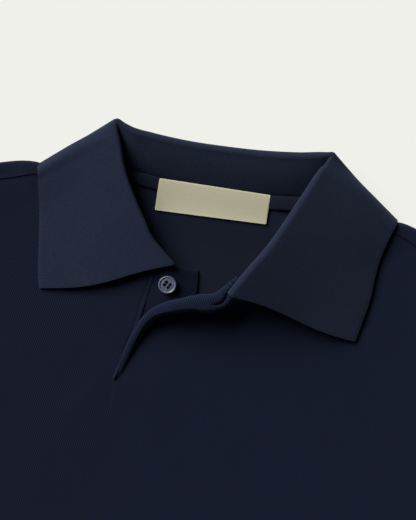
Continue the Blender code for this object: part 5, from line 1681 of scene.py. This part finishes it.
class POLO_OT_sewing(bpy.types.Operator):
    """Rows of stitches at the hem, cuffs, shoulders, placket and neck tape"""

    bl_idname = "polo.sewing"
    bl_label = "Sewing"

    def execute(self, context):
        sizes, colours = settings()
        thread = finish_named("sewing thread", sewing_thread, colours.thread)
        rows = [*self.hem_lines(sizes), self.opening_line()]
        self.sew_lines("polo_front_stitches", "polo_front", rows, sizes, thread)
        self.sew_lines("polo_shoulder_stitches", "polo_back", self.shoulder_lines(), sizes, thread)
        for side, word in ((-1, "right"), (1, "left")):
            rows = self.cuff_lines(side, sizes)
            self.sew_lines(f"polo_cuff_stitches_{word}", f"polo_sleeve_{word}", rows, sizes, thread)
        rows = self.tape_lines(sizes)
        self.sew_lines("polo_tape_stitches", "polo_neck_tape", rows, sizes, thread, TAPE_SUNK)
        return {"FINISHED"}

    def sew_lines(self, name, piece, lines, sizes, thread, sunk=0.0):
        tree = surface_of(piece)
        sew(name, [stitch for line in lines for stitch in stitch_row(line, tree, sizes, sunk)], sizes, thread)

    def hem_lines(self, sizes):
        for below in HEM_STITCHES:
            y = np.full(HEM_POINTS, HEM_Y + sizes.hem_depth - below)
            yield np.column_stack([np.linspace(-1, 1, HEM_POINTS) * (half_width(y) - EDGE_STITCH), y])

    def opening_line(self):
        past_foot, below_neck = OPENING_STITCH_ENDS
        y = np.linspace(FOOT_Y + past_foot, BUTTON_SIDE_EDGE[-1].y * MM - below_neck, OPENING_POINTS)
        return np.column_stack([edge_x(BUTTON_SIDE_EDGE, y) - EDGE_STITCH, y])

    def shoulder_lines(self):
        for side in (-1, 1):
            x = SHOULDER_X[SHOULDER_STITCH_START:] * side
            yield np.column_stack([x, shoulder_fold_y(x) - forward_seam(x) + SHOULDER_STITCH])

    def cuff_lines(self, side, sizes):
        for past in CUFF_STITCHES:
            start = np.array(SHOULDER_POINT) + (SLEEVE_LENGTH - sizes.hem_depth + past) * SLEEVE_WAY
            down = np.linspace(*CUFF_STITCH_REACH, CUFF_POINTS)[:, None]
            yield (start + down * CUFF_WAY * CUFF_WIDTH) * np.array([side, 1])

    def tape_lines(self, sizes):
        x = np.linspace(-TAPE_HALF_LENGTH + TAPE_STITCH_END, TAPE_HALF_LENGTH - TAPE_STITCH_END, TAPE_POINTS)
        for share in TAPE_STITCHES:
            yield np.column_stack([x, tape_y(x, share, sizes)])


class POLO_OT_stage(bpy.types.Operator):
    """Pale floor, one soft key light from the upper left, even fill, and the camera overhead"""

    bl_idname = "polo.stage"
    bl_label = "Studio"

    def execute(self, context):
        _, colours = settings()
        studio = context.scene.polo_studio
        deselect_all()
        bpy.ops.mesh.primitive_plane_add(size=FLOOR_SIZE, location=(0, 0, -FLOOR_GAP))
        floor = bpy.context.object
        floor.name = "studio_floor"
        bpy.ops.object.transform_apply(location=True, rotation=True, scale=True)
        floor.data.materials.append(finish_named("studio floor", studio_floor, colours.floor, colours.glow))
        self.lights(context, studio)
        self.camera(context, studio)
        context.scene.view_settings.view_transform = "Standard"
        context.scene.view_settings.look = "None"
        return {"FINISHED"}

    def lights(self, context, studio):
        flat, high = math.cos(studio.key_height), math.sin(studio.key_height)
        way = Vector((flat * math.cos(studio.key_from), flat * math.sin(studio.key_from), high))
        deselect_all()
        bpy.ops.object.light_add(type="SUN", location=way * 2)
        key = bpy.context.object
        key.name = "key_light"
        key.rotation_euler = way.to_track_quat("Z", "Y").to_euler()
        key.data.energy = studio.key_power
        key.data.angle = studio.key_softness
        key.data.color = KEY_COLOUR
        world = bpy.data.worlds.new("studio light")
        world.use_nodes = True
        fill = world.node_tree.nodes["Background"]
        fill.inputs["Color"].default_value = FILL_COLOUR
        fill.inputs["Strength"].default_value = studio.fill_power
        context.scene.world = world

    def camera(self, context, studio):
        right = Vector((math.cos(studio.roll), math.sin(studio.roll), 0))
        up = Vector((-math.sin(studio.roll), math.cos(studio.roll), 0))
        deselect_all()
        bpy.ops.object.camera_add()
        camera = bpy.context.object
        camera.name = "camera"
        camera.data.lens = studio.lens
        distance = studio.view_height * studio.lens / camera.data.sensor_width
        place = Vector(studio.aim) + SHIFT + Vector((0, 0, distance))
        axes = Matrix((right, up, Vector((0, 0, 1)))).transposed().to_4x4()
        camera.matrix_world = Matrix.Translation(place) @ axes
        camera.data.clip_start = 0.05
        context.scene.camera = camera


class POLO_PT_panel(bpy.types.Panel):
    """The shirt's sizes and colours, and a button for each piece"""

    bl_label = "Laid polo shirt"
    bl_idname = "POLO_PT_panel"
    bl_space_type = "VIEW_3D"
    bl_region_type = "UI"
    bl_category = "Polo"

    def draw(self, context):
        column = self.layout.column()
        for group in (context.scene.polo_sizes, context.scene.polo_colours, context.scene.polo_studio):
            for key in type(group).__annotations__:
                column.prop(group, key)
        for operator in PIECES:
            column.operator(operator.bl_idname)


PIECES = (
    POLO_OT_back,
    POLO_OT_front,
    POLO_OT_sleeves,
    POLO_OT_collar,
    POLO_OT_under_placket,
    POLO_OT_neck_tape,
    POLO_OT_label,
    POLO_OT_button,
    POLO_OT_sewing,
    POLO_OT_stage,
)
CLASSES = (PoloSizes, PoloColours, PoloStudio, *PIECES, POLO_PT_panel)


def register():
    for made in CLASSES:
        bpy.utils.register_class(made)
    bpy.types.Scene.polo_sizes = bpy.props.PointerProperty(type=PoloSizes)
    bpy.types.Scene.polo_colours = bpy.props.PointerProperty(type=PoloColours)
    bpy.types.Scene.polo_studio = bpy.props.PointerProperty(type=PoloStudio)


def unregister():
    for group in ("polo_sizes", "polo_colours", "polo_studio"):
        delattr(bpy.types.Scene, group)
    for made in reversed(CLASSES):
        bpy.utils.unregister_class(made)


def main():
    register()
    bpy.ops.polo.back()
    bpy.ops.polo.front()
    bpy.ops.polo.sleeves()
    bpy.ops.polo.collar()
    bpy.ops.polo.under_placket()
    bpy.ops.polo.neck_tape()
    bpy.ops.polo.label()
    bpy.ops.polo.button()
    bpy.ops.polo.sewing()
    bpy.ops.polo.stage()


if __name__ == "__main__":
    main()
